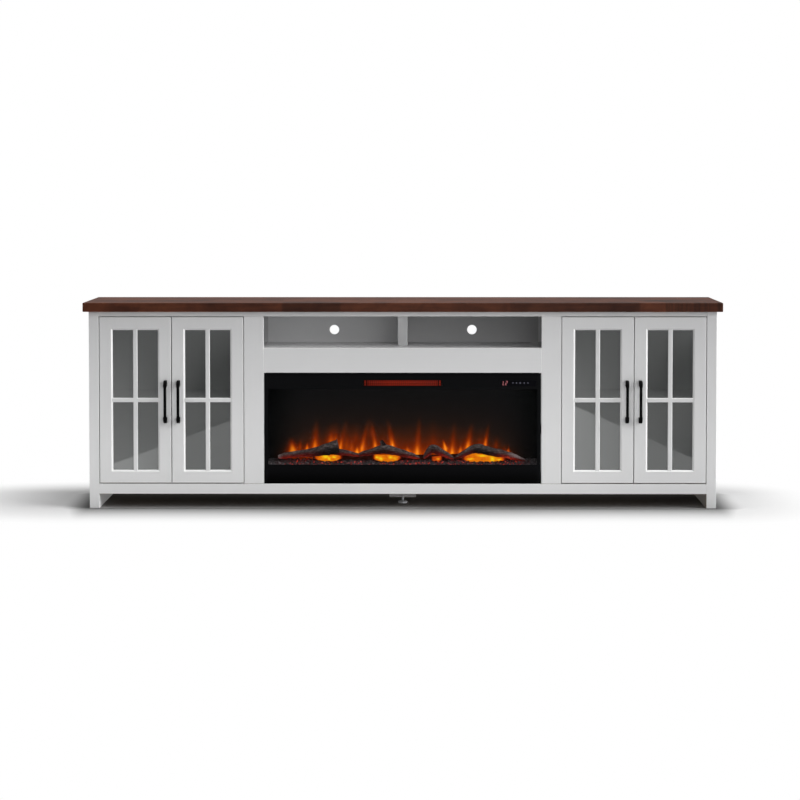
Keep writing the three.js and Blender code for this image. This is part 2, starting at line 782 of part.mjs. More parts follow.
function addFireCasing() {
  const outerX = casingWidth / 2;
  const backWallY = casingBackY - sheetThickness;
  const shell = cut(block([-outerX, plateBackY, 0], [outerX, casingBackY, casingHeight]), [
    block(
      [-casingInnerX, plateBackY - cutOverrun, sheetThickness],
      [casingInnerX, backWallY, casingHeight - sheetThickness],
    ),
  ]);
  const rotorPlace = [rotorSetback, rotorHeight];
  const leftBossEnd = rotorBossLength - casingInnerX;
  const motorStart = casingInnerX - rotorMotorLength;
  const bedShelf = block(
    [-casingInnerX - sheetThickness / 2, plateBackY + bedShelfSetback, bedShelfHeight],
    [casingInnerX + sheetThickness / 2, screenFrontY - bedShelfGap, bedZ],
  );
  const bossSink = sheetThickness / 2;
  const ears = [-1, 1].flatMap((side) => {
    const [low, high] = mirrored(side, outerX - bossSink, outerX + earWidth);
    const earFrontY = frameThickness + fitGap;
    return block([low, earFrontY, earSill], [high, earFrontY + sheetThickness, earSill + earHeight]);
  });
  const joined = join([
    shell,
    bedShelf,
    ...ears,
    bar('x', -casingInnerX - bossSink, leftBossEnd, rotorBossDiameter, roundSides, rotorPlace),
    bar('x', motorStart, casingInnerX + bossSink, rotorMotorDiameter, roundSides, rotorPlace),
  ]);
  const holeDiameter = shaftDiameter + 2 * fitGap;
  const inletHalfWidth = inletBodyWidth / 2 + fitGap;
  const inletHalfHeight = inletBodyHeight / 2 + fitGap;
  const inlet = block(
    [inletCentre - inletHalfWidth, backWallY - cutOverrun, inletHeight - inletHalfHeight],
    [inletCentre + inletHalfWidth, casingBackY + cutOverrun, inletHeight + inletHalfHeight],
  );
  const vents = [];
  for (let index = 0; index < ventCount; index += 1) {
    const ventX = (index - (ventCount - 1) / 2) * ventPitch;
    vents.push(block(
      [ventX - ventWidth / 2, backWallY - cutOverrun, casingHeight - ventDrop],
      [ventX + ventWidth / 2, casingBackY + cutOverrun, casingHeight - ventDrop + ventHeight],
    ));
  }
  piece(fire, 'fire_casing', cut(joined, [
    bar('x', fitGap - casingInnerX, leftBossEnd + cutOverrun, holeDiameter, shaftSides, rotorPlace),
    bar('x', motorStart - cutOverrun, motorStart + motorGrip, holeDiameter, shaftSides, rotorPlace),
    inlet,
    ...vents,
  ]), 'blackMetal');
  addInlet();
}

// Power inlet with its socket facing back, and three contact blades inside it
function addInlet() {
  const [halfWidth, halfHeight] = [inletBodyWidth / 2, inletBodyHeight / 2];
  const flangeBackY = casingBackY + inletFlangeThickness;
  const body = join([
    block(
      [inletCentre - halfWidth, flangeBackY - inletBodyDepth, inletHeight - halfHeight],
      [inletCentre + halfWidth, flangeBackY, inletHeight + halfHeight],
    ),
    block(
      [inletCentre - halfWidth - inletFlangeLap, casingBackY, inletHeight - halfHeight - inletFlangeLap],
      [inletCentre + halfWidth + inletFlangeLap, flangeBackY, inletHeight + halfHeight + inletFlangeLap],
    ),
  ]);
  const rootY = flangeBackY - inletSocketDepth;
  const [socketHalfWidth, socketHalfHeight] = [inletSocketWidth / 2, inletSocketHeight / 2];
  const socket = block(
    [inletCentre - socketHalfWidth, rootY, inletHeight - socketHalfHeight],
    [inletCentre + socketHalfWidth, flangeBackY + cutOverrun, inletHeight + socketHalfHeight],
  );
  const blades = [-1, 0, 1].map((step) => {
    const bladeX = inletCentre + step * inletBladePitch;
    return block(
      [bladeX - inletBladeWidth / 2, rootY - inletBladeWidth, inletHeight - inletBladeHeight / 2],
      [bladeX + inletBladeWidth / 2, rootY + inletBladeLength, inletHeight + inletBladeHeight / 2],
    );
  });
  piece(fire, 'power_inlet', join([cut(body, [socket]), ...blades]), 'blackPlastic');
}

// The heater's duct, open at its front and back, with the blower's motor on its right end
function addHeater() {
  const outerX = ductWidth / 2;
  const wheelPlace = [wheelSetback, wheelZ];
  const holeDiameter = shaftDiameter + 2 * fitGap;
  const duct = cut(block(
    [-outerX, plateBackY, ductZ],
    [outerX, ductBackY, ductZ + ductHeight],
  ), [
    block(
      [sheetThickness - outerX, plateBackY - cutOverrun, ductFloorZ],
      [outerX - sheetThickness, ductBackY + cutOverrun, ductZ + ductHeight - sheetThickness],
    ),
  ]);
  const motorStart = outerX - sheetThickness / 2;
  const motorDiameter = ductHeight - 2 * motorGap;
  piece(fire, 'heater_duct', cut(join([
    duct,
    bar('x', motorStart, outerX + motorLength, motorDiameter, roundSides, wheelPlace),
  ]), [
    bar('x', -outerX - cutOverrun, outerX + motorGrip + fitGap, holeDiameter, shaftSides, wheelPlace),
  ]), 'steel');
  piece(fire, 'heating_element', heatingElement(), 'hotElement');
  piece(fire, 'blower_wheel', blowerWheel(outerX), 'blackPlastic');
}

// Two rails with thin upright fins between them, standing on the duct's floor
function heatingElement() {
  const halfWidth = ductWidth / 2 - elementEndGap;
  const frontFace = elementBackY - elementDepth;
  const topZ = ductZ + ductHeight - sheetThickness - elementTopGap;
  const parts = [
    block([-halfWidth, frontFace, ductFloorZ], [halfWidth, elementBackY, ductFloorZ + elementRailHeight]),
    block([-halfWidth, frontFace, topZ - elementRailHeight], [halfWidth, elementBackY, topZ]),
  ];
  const pitch = (2 * halfWidth - elementFinThickness) / (elementFinCount - 1);
  for (let index = 0; index < elementFinCount; index += 1) {
    const finX = index * pitch - halfWidth;
    parts.push(block(
      [finX, frontFace, ductFloorZ + elementRailHeight / 2],
      [finX + elementFinThickness, elementBackY, topZ - elementRailHeight / 2],
    ));
  }
  return join(parts);
}

// A cross-flow wheel: leaning blades between two discs on one shaft
function blowerWheel(ductHalfWidth) {
  const place = [wheelSetback, wheelZ];
  const halfLength = wheelLength / 2;
  const parts = [bar('x', -ductHalfWidth, ductHalfWidth + motorGrip, shaftDiameter, shaftSides, place)];
  for (const low of [-halfLength, -wheelDiscThickness / 2, halfLength - wheelDiscThickness]) {
    parts.push(bar('x', low, low + wheelDiscThickness, wheelDiameter, roundSides, place));
  }
  const bladeRadius = (wheelDiameter - wheelBladeChord) / 2 - wheelBladeThickness;
  const bladeLength = wheelLength - wheelDiscThickness;
  for (let index = 0; index < wheelBladeCount; index += 1) {
    const blade = new THREE.BoxGeometry(bladeLength, wheelBladeChord, wheelBladeThickness);
    blade.rotateX(bladeLean).translate(0, bladeRadius, 0);
    blade.rotateX((index / wheelBladeCount) * 2 * Math.PI).translate(0, wheelSetback, wheelZ);
    parts.push(blade);
  }
  return join(parts);
}

// The translucent screen behind the logs, and the shaft of bright tabs that throws light on it
function addFlameParts() {
  piece(fire, 'flame_screen', block(
    [-casingInnerX, screenFrontY, sheetThickness],
    [casingInnerX, screenFrontY + screenThickness, ductZ - screenTopGap],
  ), 'flameScreen');
  const leftEnd = 2 * fitGap - casingInnerX;
  const rightEnd = casingInnerX - rotorMotorLength + motorGrip - fitGap;
  const parts = [bar('x', leftEnd, rightEnd, shaftDiameter, shaftSides, [rotorSetback, rotorHeight])];
  const runStart = rotorBossLength - casingInnerX + rotorTabThickness;
  const runEnd = casingInnerX - rotorMotorLength - rotorTabThickness;
  const pitch = (runEnd - runStart) / rotorTabCount;
  for (let index = 0; index < rotorTabCount; index += 1) {
    const tab = new THREE.BoxGeometry(rotorTabLength, rotorTabWidth, rotorTabThickness);
    tab.rotateX(index * rotorTabTurn);
    tab.translate(runStart + (index + 1 / 2) * pitch, rotorSetback, rotorHeight);
    parts.push(tab);
  }
  piece(fire, 'flame_rotor', join(parts), 'steel');
}

// A log: a round bar bent along a smooth curve, thicker and thinner along it, with shallow ridges
function limb(rows) {
  const points = rows.map(([along, height, , inwards]) => new THREE.Vector3(
    along * bedWidth / 2,
    bedFrontY + inwards * bedDepth,
    bedZ + bedEdgeHeight + height * logPileHeight,
  ));
  const curve = new THREE.CatmullRomCurve3(points);
  const geometry = new THREE.CylinderGeometry(1, 1, 1, logSides, logSteps);
  const position = geometry.attributes.position;
  const spot = new THREE.Vector3();
  for (let index = 0; index < position.count; index += 1) {
    spot.fromBufferAttribute(position, index);
    const share = THREE.MathUtils.clamp(1 / 2 - spot.y, 0, 1);
    const angle = Math.atan2(spot.z, spot.x);
    const scaled = share * (rows.length - 1);
    const row = Math.min(Math.floor(scaled), rows.length - 2);
    const radiusShare = THREE.MathUtils.lerp(rows[row][2], rows[row + 1][2], scaled - row);
    const ridge = knotRelief * Math.sin(knotTurns * angle + rows.length * share * Math.PI);
    const radius = Math.hypot(spot.x, spot.z) * (logRadius * radiusShare + radiusShare * ridge);
    const centre = curve.getPoint(share);
    const tangent = curve.getTangent(share);
    const across = new THREE.Vector3(0, 1, 0);
    const upwards = new THREE.Vector3().crossVectors(tangent, across).normalize();
    centre.addScaledVector(across, radius * Math.cos(angle));
    centre.addScaledVector(upwards, radius * Math.sin(angle));
    position.setXYZ(index, centre.x, centre.y, centre.z);
  }
  return geometry;
}

// The ember bed: a block whose top is heaped with rounded coals and rises to the back
function emberBed() {
  const height = bedEdgeHeight + bedRise;
  const geometry = new THREE.BoxGeometry(bedWidth, bedDepth, height, emberColumns, emberRows, 1);
  geometry.translate(0, bedFrontY + bedDepth / 2, bedZ + height / 2);
  const position = geometry.attributes.position;
  for (let index = 0; index < position.count; index += 1) {
    if (position.getZ(index) < bedZ + height / 2) continue;
    const inwards = (position.getY(index) - bedFrontY) / bedDepth;
    const phase = (position.getX(index) / emberPitch) * 2 * Math.PI;
    const coals = Math.sin(phase) * Math.cos(phase / Math.E + inwards * 2 * Math.PI);
    const taperOff = Math.sin(inwards * Math.PI);
    const top = bedZ + bedEdgeHeight + bedRise * inwards + emberRelief * coals * taperOff;
    position.setZ(index, top);
  }
  return geometry;
}

function addLogs() {
  piece(fire, 'log_and_ember_bed', join([
    emberBed(),
    ...logShares.map(limb),
    limb(stubShares),
  ]), 'charredWood');
}

addCase();
addCubbies();
addCentreSupport();
doors.forEach(addDoor);
addFireFront();
addFireCasing();
addHeater();
addFlameParts();
addLogs();

export default stand;
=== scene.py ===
"""Looks of the fireplace TV stand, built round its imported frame.

Metres, +Z up, the front faces -Y and +X is on the right of someone who faces it.
"""

import json
import math

import bmesh
import bpy
import numpy as np
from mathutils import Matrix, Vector


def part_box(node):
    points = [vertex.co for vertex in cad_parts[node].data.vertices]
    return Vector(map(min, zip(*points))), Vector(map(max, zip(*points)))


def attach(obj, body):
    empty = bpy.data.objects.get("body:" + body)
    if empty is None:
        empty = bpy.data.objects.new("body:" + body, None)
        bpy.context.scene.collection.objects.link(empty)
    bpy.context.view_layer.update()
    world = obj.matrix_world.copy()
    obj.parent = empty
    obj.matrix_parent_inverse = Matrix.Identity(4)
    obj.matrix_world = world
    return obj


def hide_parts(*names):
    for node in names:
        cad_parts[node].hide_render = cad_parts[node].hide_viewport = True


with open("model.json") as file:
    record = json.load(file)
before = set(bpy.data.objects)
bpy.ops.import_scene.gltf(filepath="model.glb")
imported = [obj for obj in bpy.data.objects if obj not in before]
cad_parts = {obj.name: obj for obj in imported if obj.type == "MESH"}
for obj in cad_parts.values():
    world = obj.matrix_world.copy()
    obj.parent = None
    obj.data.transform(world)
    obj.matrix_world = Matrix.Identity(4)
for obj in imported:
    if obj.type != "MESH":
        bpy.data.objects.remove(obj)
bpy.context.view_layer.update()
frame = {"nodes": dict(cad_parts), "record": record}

MM = 0.001
SEED = 11


# Shader maths


def operator(kind, swapped=False):
    """A method that adds one Math node, on a signal and another value."""

    def method(self, other=0.0):
        first, second = (other, self) if swapped else (self, other)
        return self.nodes.node("Math", {"operation": kind}, {0: first, 1: second})

    return method


class Signal:
    """An output among one owner's nodes. Plain arithmetic on it adds Math nodes."""

    def __init__(self, nodes, socket):
        self.nodes = nodes
        self.socket = socket

    __add__ = __radd__ = operator("ADD")
    __sub__ = operator("SUBTRACT")
    __rsub__ = operator("SUBTRACT", swapped=True)
    __mul__ = __rmul__ = operator("MULTIPLY")
    __truediv__ = operator("DIVIDE")
    __rtruediv__ = operator("DIVIDE", swapped=True)
    __pow__ = operator("POWER")
    __rpow__ = operator("POWER", swapped=True)
    __gt__ = operator("GREATER_THAN")
    __lt__ = operator("LESS_THAN")
    least = operator("MINIMUM")
    most = operator("MAXIMUM")
    floor = operator("FLOOR")
    part = operator("FRACT")
    size = operator("ABSOLUTE")

    def __neg__(self):
        return self * -1.0

    def between(self, low, high, start=0.0):
        """Start below low, 1 above high, and a smooth step between them."""
        inputs = {"Value": self, "From Min": low, "From Max": high, "To Min": start}
        return self.nodes.node("MapRange", {"interpolation_type": "SMOOTHSTEP"}, inputs)

    def within(self, low, high):
        """1 between two values, and 0 outside."""
        return (self > low) * (self < high)


class Nodes:
    """The nodes of one material or world, and methods that add to them."""

    def __init__(self, owner, output):
        owner.use_nodes = True
        self.tree = owner.node_tree
        self.tree.nodes.clear()
        self.output = self.tree.nodes.new("ShaderNodeOutput" + output)

    def set(self, made, inputs):
        """Links or sets a node's sockets. A colour is given as three numbers."""
        for key, value in inputs.items():
            socket = made.inputs[key]
            if isinstance(value, Signal):
                self.tree.links.new(value.socket, socket)
            else:
                socket.default_value = (*value, 1.0) if socket.type == "RGBA" else value

    def node(self, kind, settings=None, inputs=None, out=0):
        """Any node: its settings first, then the values or links of its sockets."""
        made = self.tree.nodes.new("ShaderNode" + kind)
        for key, value in (settings or {}).items():
            if key == "stops":
                self.set_stops(made.color_ramp, value)
            else:
                setattr(made, key, value)
        self.set(made, inputs or {})
        return Signal(self, made.outputs[out])

    def set_stops(self, ramp, stops):
        while len(ramp.elements) < len(stops):
            ramp.elements.new(1.0)
        for element, (place, color) in zip(ramp.elements, stops):
            element.position = place
            element.color = (*color, 1.0)

    def show(self, shader):
        self.set(self.output, {"Surface": shader})

    def place(self, scale=(1, 1, 1)):
        """Object coordinates, scaled along each axis."""
        spot = self.node("TexCoord", out="Object")
        return self.node("Mapping", None, {"Vector": spot, "Scale": scale})

    def axes(self, vector=None):
        """The three parts of a vector, or else of the Object coordinates."""
        parts = self.node("SeparateXYZ", None, {"Vector": vector or self.place()})
        return [Signal(self, part) for part in parts.socket.node.outputs]

    def facing(self):
        """The three parts of the direction that a face points in."""
        return self.axes(self.node("NewGeometry", out="True Normal"))

    def vector(self, x=0.0, y=0.0, z=0.0):
        return self.node("CombineXYZ", None, {"X": x, "Y": y, "Z": z})

    def ray(self, kind):
        """1 for one kind of ray, such as Camera, and 0 for the others."""
        return self.node("LightPath", out=f"Is {kind} Ray")

    def attribute(self, name):
        return self.node("Attribute", {"attribute_name": name}, out="Fac")

    def noise(self, scale, detail=2.0, roughness=0.5, distortion=0.0, at=None):
        """Noise at a place, or else at the Object coordinates."""
        return self.node("TexNoise", None, {
            "Vector": at or self.place(), "Scale": scale, "Detail": detail,
            "Roughness": roughness, "Distortion": distortion,
        })

    def chance(self, vector):
        """One even random value for each whole-numbered place."""
        return self.node("TexWhiteNoise", {"noise_dimensions": "3D"}, {"Vector": vector})

    def cells(self, scale, at=None):
        """Distance to the nearest of scattered points."""
        return self.node("TexVoronoi", None, {"Vector": at or self.place(), "Scale": scale})

    def ramp(self, factor, stops):
        return self.node("ValToRGB", {"stops": stops}, {"Fac": factor})

    def blend(self, factor, first, second):
        """Colour that goes from first to second as factor goes from 0 to 1."""
        return self.node("Mix", {"data_type": "RGBA"}, {0: factor, 6: first, 7: second}, 2)

    def mix_shaders(self, factor, first, second):
        """Shader that goes from first to second as factor goes from 0 to 1."""
        return self.node("MixShader", None, {0: factor, 1: first, 2: second})

    def emission(self, strength):
        return self.node("Emission", None, {"Strength": strength})


class Finish(Nodes):
    """One material and its main shader, whose glow is the strength of its Emission Color."""

    def __init__(self, name, color, roughness, specular=0.5, metallic=0.0, glow=0.0):
        self.material = bpy.data.materials.new(name)
        super().__init__(self.material, "Material")
        self.shader = self.node("BsdfPrincipled", None, {
            "Base Color": color, "Roughness": roughness, "Metallic": metallic,
            "Specular IOR Level": specular, "Emission Strength": glow,
        })
        self.show(self.shader)

    def feed(self, **links):
        """Links the shader's sockets; an underscore in a keyword stands for a space."""
        inputs = {key.replace("_", " "): value for key, value in links.items()}
        self.set(self.shader.socket.node, inputs)
        return self

    def bump(self, height, distance):
        return self.node("Bump", None, {"Height": height, "Distance": distance})


# Finishes


# Where the paint changes: places along an axis, in metres
CUBBIES_FRONT_Y, CUBBIES_HALF_WIDTH, CUBBIES_Z = -0.18, 0.54, (0.60, 0.768)
TOP_SHADE_Z, LIT_EDGES_Z, UNDERSIDES_Z = (0.742, 0.766), (0.1, 0.738), (0.01, 0.13)
RIGHT_END_X, CASE_FLOOR_Z = 1.16, 0.056
DOOR_GAPS_X, DOOR_GAPS_Y, DOOR_GAPS_Z = (0.60, 1.18), (-0.2030, -0.1820), (0.0935, 0.7425)


def painted(name, stretch):
    """Satin white paint, with faint strokes along the board, orange peel and small scuffs, and painted
    light and shade in its colour.
    """
    finish = Finish(name, (0.8, 0.8, 0.8), 0.42, 0.35)
    strokes = finish.noise(90.0, 3.0, 0.6, at=finish.place(stretch))
    clouds, peel = finish.noise(2.2), finish.noise(420.0)
    scuffs = finish.noise(21.0, 5.0, 0.65, at=finish.place((3, 3, 9))).between(0.66, 0.78)
    x, y, z = finish.axes()
    face_x, face_y, face_z = finish.facing()
    tone = clouds * 0.5 + strokes * 0.5
    # Painted light and shade: the paint is lighter low down and darker high up.
    lower = finish.blend(tone, (0.907, 0.909, 0.911), (0.939, 0.941, 0.942))
    upper = finish.blend(tone, (0.655, 0.657, 0.662), (0.690, 0.692, 0.697))
    paint = finish.blend(z.between(0.0, 0.80), lower, upper)
    # Painted shade: the paint darkens towards the right end.
    paint = finish.blend(x.between(0.40, 1.22) * 0.30, paint, (0.50, 0.50, 0.505))
    # Painted light and shade inside the cubbies: lighter at the left and darker at the right, less so
    # on their floors.
    cubbies = (y > CUBBIES_FRONT_Y) * (x.size() < CUBBIES_HALF_WIDTH) * z.within(*CUBBIES_Z)
    thin = x.between(-0.60, 0.60) * (1.0 - (face_z > 0.5) * 0.45)
    cubby_light_and_shade = finish.blend(thin, (0.92, 0.92, 0.925), (0.46, 0.46, 0.465))
    paint = finish.blend(cubbies * 0.92, paint, cubby_light_and_shade)
    # Painted shade under the top's overhang.
    paint = finish.blend(z.between(*TOP_SHADE_Z) * 0.35, paint, (0.36, 0.36, 0.39))
    low = 1.0 - z.between(0.02, 0.16)
    wear_light_and_shade = finish.blend(scuffs * (0.05 + low * 0.22), paint, (0.50, 0.47, 0.44))
    # Painted highlight: the slanted edges that look up or to the right are a lighter white.
    bare_glass_and_lit_edges = (face_y < -0.3) * (face_x + face_z > 0.4) * z.within(*LIT_EDGES_Z)
    wear_light_and_shade = finish.blend(bare_glass_and_lit_edges, wear_light_and_shade, (0.95, 0.95, 0.95))
    # Undersides are raw wood, whose dark colour also stands in for the shade under the case; the inner
    # side of the right end below the case floor takes it as painted shade.
    under = (face_z < -0.5) * z.within(*UNDERSIDES_Z)
    under = under + (face_x < -0.5) * (x > RIGHT_END_X) * (z < CASE_FLOOR_Z)
    fibres = finish.noise(1.0, 4.0, 0.6, at=finish.place((14, 240, 240)))
    raw_wood_and_shade = finish.blend(fibres, (0.15, 0.105, 0.07), (0.26, 0.19, 0.13))
    wear_light_and_shade = finish.blend(under, wear_light_and_shade, raw_wood_and_shade)
    # Painted shade: the walls of the narrow gaps round the doors are dark.
    gaps = x.size().within(*DOOR_GAPS_X) * y.within(*DOOR_GAPS_Y) * z.within(*DOOR_GAPS_Z)
    dust_and_shade = gaps * (face_y.size() < 0.5)
    wear_light_and_shade = finish.blend(dust_and_shade * 0.75, wear_light_and_shade, (0.16, 0.155, 0.15))
    return finish.feed(
        Base_Color=wear_light_and_shade,
        Roughness=0.36 + strokes * 0.1 + scuffs * 0.12,
        Normal=finish.bump(strokes * 0.5 + peel * 0.3, 0.00018),
    ).material


# Staves of the top's front row: where each one starts along X, and how bright it is
FRONT_STAVES = [
    (-1.232, 0.88), (-0.466, 0.46), (-0.235, 0.80), (0.19, 0.70), (0.42, 0.50), (0.915, 1.0),
    (1.012, 0.56),
]


def dark_wood():
    """Brown stained staves laid along X, each with its own tone, under satin lacquer. The front
    row is set stave by stave, because its edge is what shows from the front."""
    finish = Finish("dark_wood", (0.09, 0.03, 0.02), 0.34, 0.10)
    x, y, z = finish.axes()
    stave_width, stave_length, first_row_y = 0.0762, 0.61, -0.2235
    across = (y - first_row_y) / stave_width
    row = across.floor()
    along = x / stave_length + finish.chance(finish.vector(row, 3.0, 1.0)) * 3.0
    inner = row > 0.5
    front = 1.0 - inner
    tone = finish.chance(finish.vector(row, along.floor(), 7.0)) * inner + 0.5 * front
    lift = finish.vector(x * 1.6 + tone * 31.0, y * 22.0 + tone * 5.0, z * 22.0)
    figure = finish.noise(1.0, 5.0, 0.62, 0.8, at=lift)
    ring_place = finish.vector(x * 5.0 + tone * 17.0, y * 170.0, z * 120.0)
    rings = finish.noise(1.0, 4.0, 0.6, at=ring_place)
    pore = finish.noise(1.0, 2.0, 0.5, at=finish.place((34, 1150, 1150))).between(0.60, 0.72)
    joint = (1.0 - (across.part() - 0.5).size() * 2.0).between(0.0, 0.022)
    butt = (1.0 - (along.part() - 0.5).size() * 2.0).between(0.0, 0.0035).most(front)
    seam = joint.least(butt)
    patch = finish.noise(1.0, at=finish.place((3.1, 6, 6)))
    blotch = finish.noise(1.0, 3.0, 0.55, 0.8, at=finish.place((13, 10, 16)))
    depth = figure * 0.36 + rings * 0.20 + tone * 0.12 + patch * 0.26 + blotch * 0.34
    brown = finish.ramp(depth, [
        (0.46, (0.063, 0.0175, 0.0085)),
        (0.58, (0.145, 0.0410, 0.0190)),
        (0.69, (0.245, 0.0720, 0.0320)),
        (0.82, (0.360, 0.1100, 0.0480)),
    ])
    # The ramp's places run over 2.5 m of X, with the middle of the top at 0.5.
    stops = [(0.0, (FRONT_STAVES[0][1],) * 3)]
    for (start, bright), (_, last) in zip(FRONT_STAVES[1:], FRONT_STAVES):
        place = start * 0.4 + 0.5
        stops += [(place - 0.001, (last,) * 3), (place, (bright,) * 3)]
    light = finish.ramp(x * 0.4 + 0.5, stops) * front + 0.85 * inner
    streaks = finish.noise(1.0, 3.0, 0.6, at=finish.place((95, 3, 4)))
    last_stave = (x > FRONT_STAVES[-1][0]) * front
    light = light * (1.0 + last_stave * (streaks - 0.5) * 2.6)
    # Dark heartwood lies in an oval near the right end.
    heart = ((x - 1.06) / 0.125) ** 2.0 + ((y + 0.07) / 0.062) ** 2.0 + (blotch - 0.5) * 2.4
    light = light * (0.42 + 0.58 * heart.between(0.0, 2.0))
    # Painted shade: the top face is darker than its front edge.
    light = light * (1.0 - (finish.facing()[2] > 0.5) * 0.42)
    brown = finish.blend(light, (0.004, 0.003, 0.003), brown)
    stained = finish.blend(pore * 0.55, brown, (0.018, 0.008, 0.006))
    color = finish.blend((1.0 - seam) * 0.6, stained, (0.012, 0.006, 0.005))
    return finish.feed(
        Base_Color=color,
        Roughness=0.30 + rings * 0.12 + pore * 0.12,
        Normal=finish.bump(seam * 1.2 - pore * 0.35 + rings * 0.12, 0.00022),
    ).material


def black_metal():
    """Black powder coat: a fine even grain, and a little wear to grey."""
    finish = Finish("black_metal", (0.003, 0.003, 0.003), 0.5, 0.05)
    grain = finish.noise(1500.0, 2.0, 0.6)
    dust = finish.noise(14.0, 4.0, 0.6)
    grey = dust.between(0.45, 0.8) * 0.3
    return finish.feed(
        Base_Color=finish.blend(grey, (0.0015, 0.0015, 0.0016), (0.008, 0.008, 0.009)),
        Roughness=0.42 + grain * 0.12 + dust * 0.1,
        Normal=finish.bump(grain, 0.00006),
    ).material


def plate_coat():
    """The fire's black front, with a painted sheen in its colour: lighter from the window's foot upward
    and at the side margins, darker below the window; and one dark seam line above the controls."""
    finish = Finish("plate_coat", (0.004, 0.004, 0.005), 0.5, 0.03)
    x, _, z = finish.axes()
    grain = finish.noise(1500.0, 2.0, 0.6)
    # Painted sheen: lighter colour from the window's foot up, less in the top band, and at the margins.
    inner = z.between(0.096, 0.165) * (1.0 - z.between(0.500, 0.520) * 0.45)
    rim = x.size().between(0.519, 0.522)
    seam = (z - 0.5015).size().between(0.0008, 0.0022)
    sheen = (inner * (0.50 + seam * 0.35) + rim * 0.35) * (0.85 + grain * 0.3)
    return finish.feed(
        Base_Color=finish.blend(sheen, (0.0004, 0.0004, 0.0004), (0.0052, 0.0054, 0.0062)),
        Roughness=0.5 + grain * 0.15,
        Normal=finish.bump(grain + seam * 2.0, 0.00006),
    ).material


def window_trim():
    """Black satin trim, a little lighter than the plate round it."""
    finish = Finish("window_trim", (0.005, 0.005, 0.006), 0.4, 0.04)
    grain = finish.noise(900.0, 3.0, 0.6)
    color = finish.blend(grain, (0.0028, 0.0030, 0.0036), (0.0042, 0.0044, 0.0052))
    return finish.feed(Base_Color=color, Roughness=0.35 + grain * 0.2).material


def steel():
    """Zinc plated sheet: rolled lines along X, and spangle cells."""
    finish = Finish("steel", (0.5, 0.51, 0.52), 0.34, metallic=1.0)
    lines = finish.noise(1.0, 3.0, 0.6, at=finish.place((6, 700, 700)))
    spangle = finish.cells(130.0)
    color = finish.blend(spangle, (0.52, 0.53, 0.545), (0.40, 0.41, 0.425))
    return finish.feed(
        Base_Color=color,
        Roughness=0.26 + lines * 0.16 + spangle * 0.1,
        Normal=finish.bump(lines, 0.00003),
    ).material


def black_plastic():
    """Moulded black plastic with a fine spark-eroded grain."""
    finish = Finish("black_plastic", (0.003, 0.003, 0.004), 0.4, 0.03)
    grain = finish.noise(1100.0, 3.0, 0.6)
    cloud = finish.noise(20.0, 3.0)
    color = finish.blend(cloud, (0.0018, 0.0018, 0.0030), (0.0030, 0.0030, 0.0045))
    return finish.feed(
        Base_Color=color,
        Roughness=0.32 + grain * 0.2,
        Normal=finish.bump(grain, 0.00005),
    ).material


def clear_glass(name, tint, gloss, film, haze):
    """Thin glass: see-through with a tint, with a reflection that grows by Fresnel's law times
    the gloss, and a faint film of haze and smears over it."""
    finish = Finish(name, haze, 0.4, 0.2)
    smears = finish.noise(9.0, 4.0, 0.6, at=finish.place((1, 1, 3)))
    edge_gloss = finish.node("Fresnel", None, {"IOR": 1.5}) * gloss
    finish.feed(
        Base_Color=finish.blend(smears, haze, tuple(0.85 * part for part in haze)),
        Roughness=0.3 + smears * 0.3,
    )
    through = finish.node("BsdfTransparent", None, {"Color": tint})
    mirror = finish.node("BsdfGlossy", None, {"Roughness": 0.012})
    bare_glass_and_lit_edges = finish.mix_shaders(edge_gloss, through, mirror)
    finish.show(finish.mix_shaders(smears * film + 0.5 * film, bare_glass_and_lit_edges, finish.shader))
    return finish.material


def hot_element():
    """Heater fins that glow dull red, brighter in their middle."""
    finish = Finish("hot_element", (0.05, 0.012, 0.01), 0.7, glow=1.0)
    x = finish.axes()[0]
    uneven = finish.noise(1.0, 3.0, 0.6, at=finish.place((30, 30, 90)))
    side = x.size().between(0.02, 0.15)
    centre = finish.blend(uneven, (0.17, 0.0070, 0.0004), (0.265, 0.0130, 0.0008))
    glow = finish.blend(side * (0.5 - x.between(-0.1, 0.1) * 0.15), centre, (0.08, 0.0020, 0.0002))
    return finish.feed(
        Base_Color=finish.blend(uneven, (0.020, 0.003, 0.001), (0.035, 0.005, 0.002)),
        Emission_Color=glow,
        Roughness=0.55 + uneven * 0.3,
    ).material


def flame_picture():
    """The flames' screen: dark film, and a flame colour for the heat stored on its points."""
    finish = Finish("flame_picture", (0.0015, 0.0015, 0.0015), 0.6, 0.0, glow=1.0)
    heat = finish.attribute("warmth")
    wisps = finish.noise(1.0, 3.0, 0.6, 0.7, at=finish.place((85, 0, 17)))
    drift = finish.noise(1.0, 2.0, at=finish.place((19, 0, 8)))
    lit = heat * (0.72 + wisps * 0.38 + drift * 0.18)
    glow = finish.ramp(lit, [
        (0.00, (0.0040, 0.0042, 0.0045)),
        (0.12, (0.0120, 0.0066, 0.0048)),
        (0.25, (0.0500, 0.0110, 0.0030)),
        (0.42, (0.1600, 0.0165, 0.0012)),
        (0.60, (0.3700, 0.0450, 0.0012)),
        (0.80, (0.7200, 0.1200, 0.0030)),
        (1.00, (0.9900, 0.2700, 0.0110)),
    ])
    edge = 1.0 - finish.axes()[0].size().between(0.38, 0.53)
    dim = finish.blend(edge, (0.0010, 0.0012, 0.0012), glow)
    return finish.feed(Emission_Color=dim, Roughness=0.5 + wisps * 0.2).material


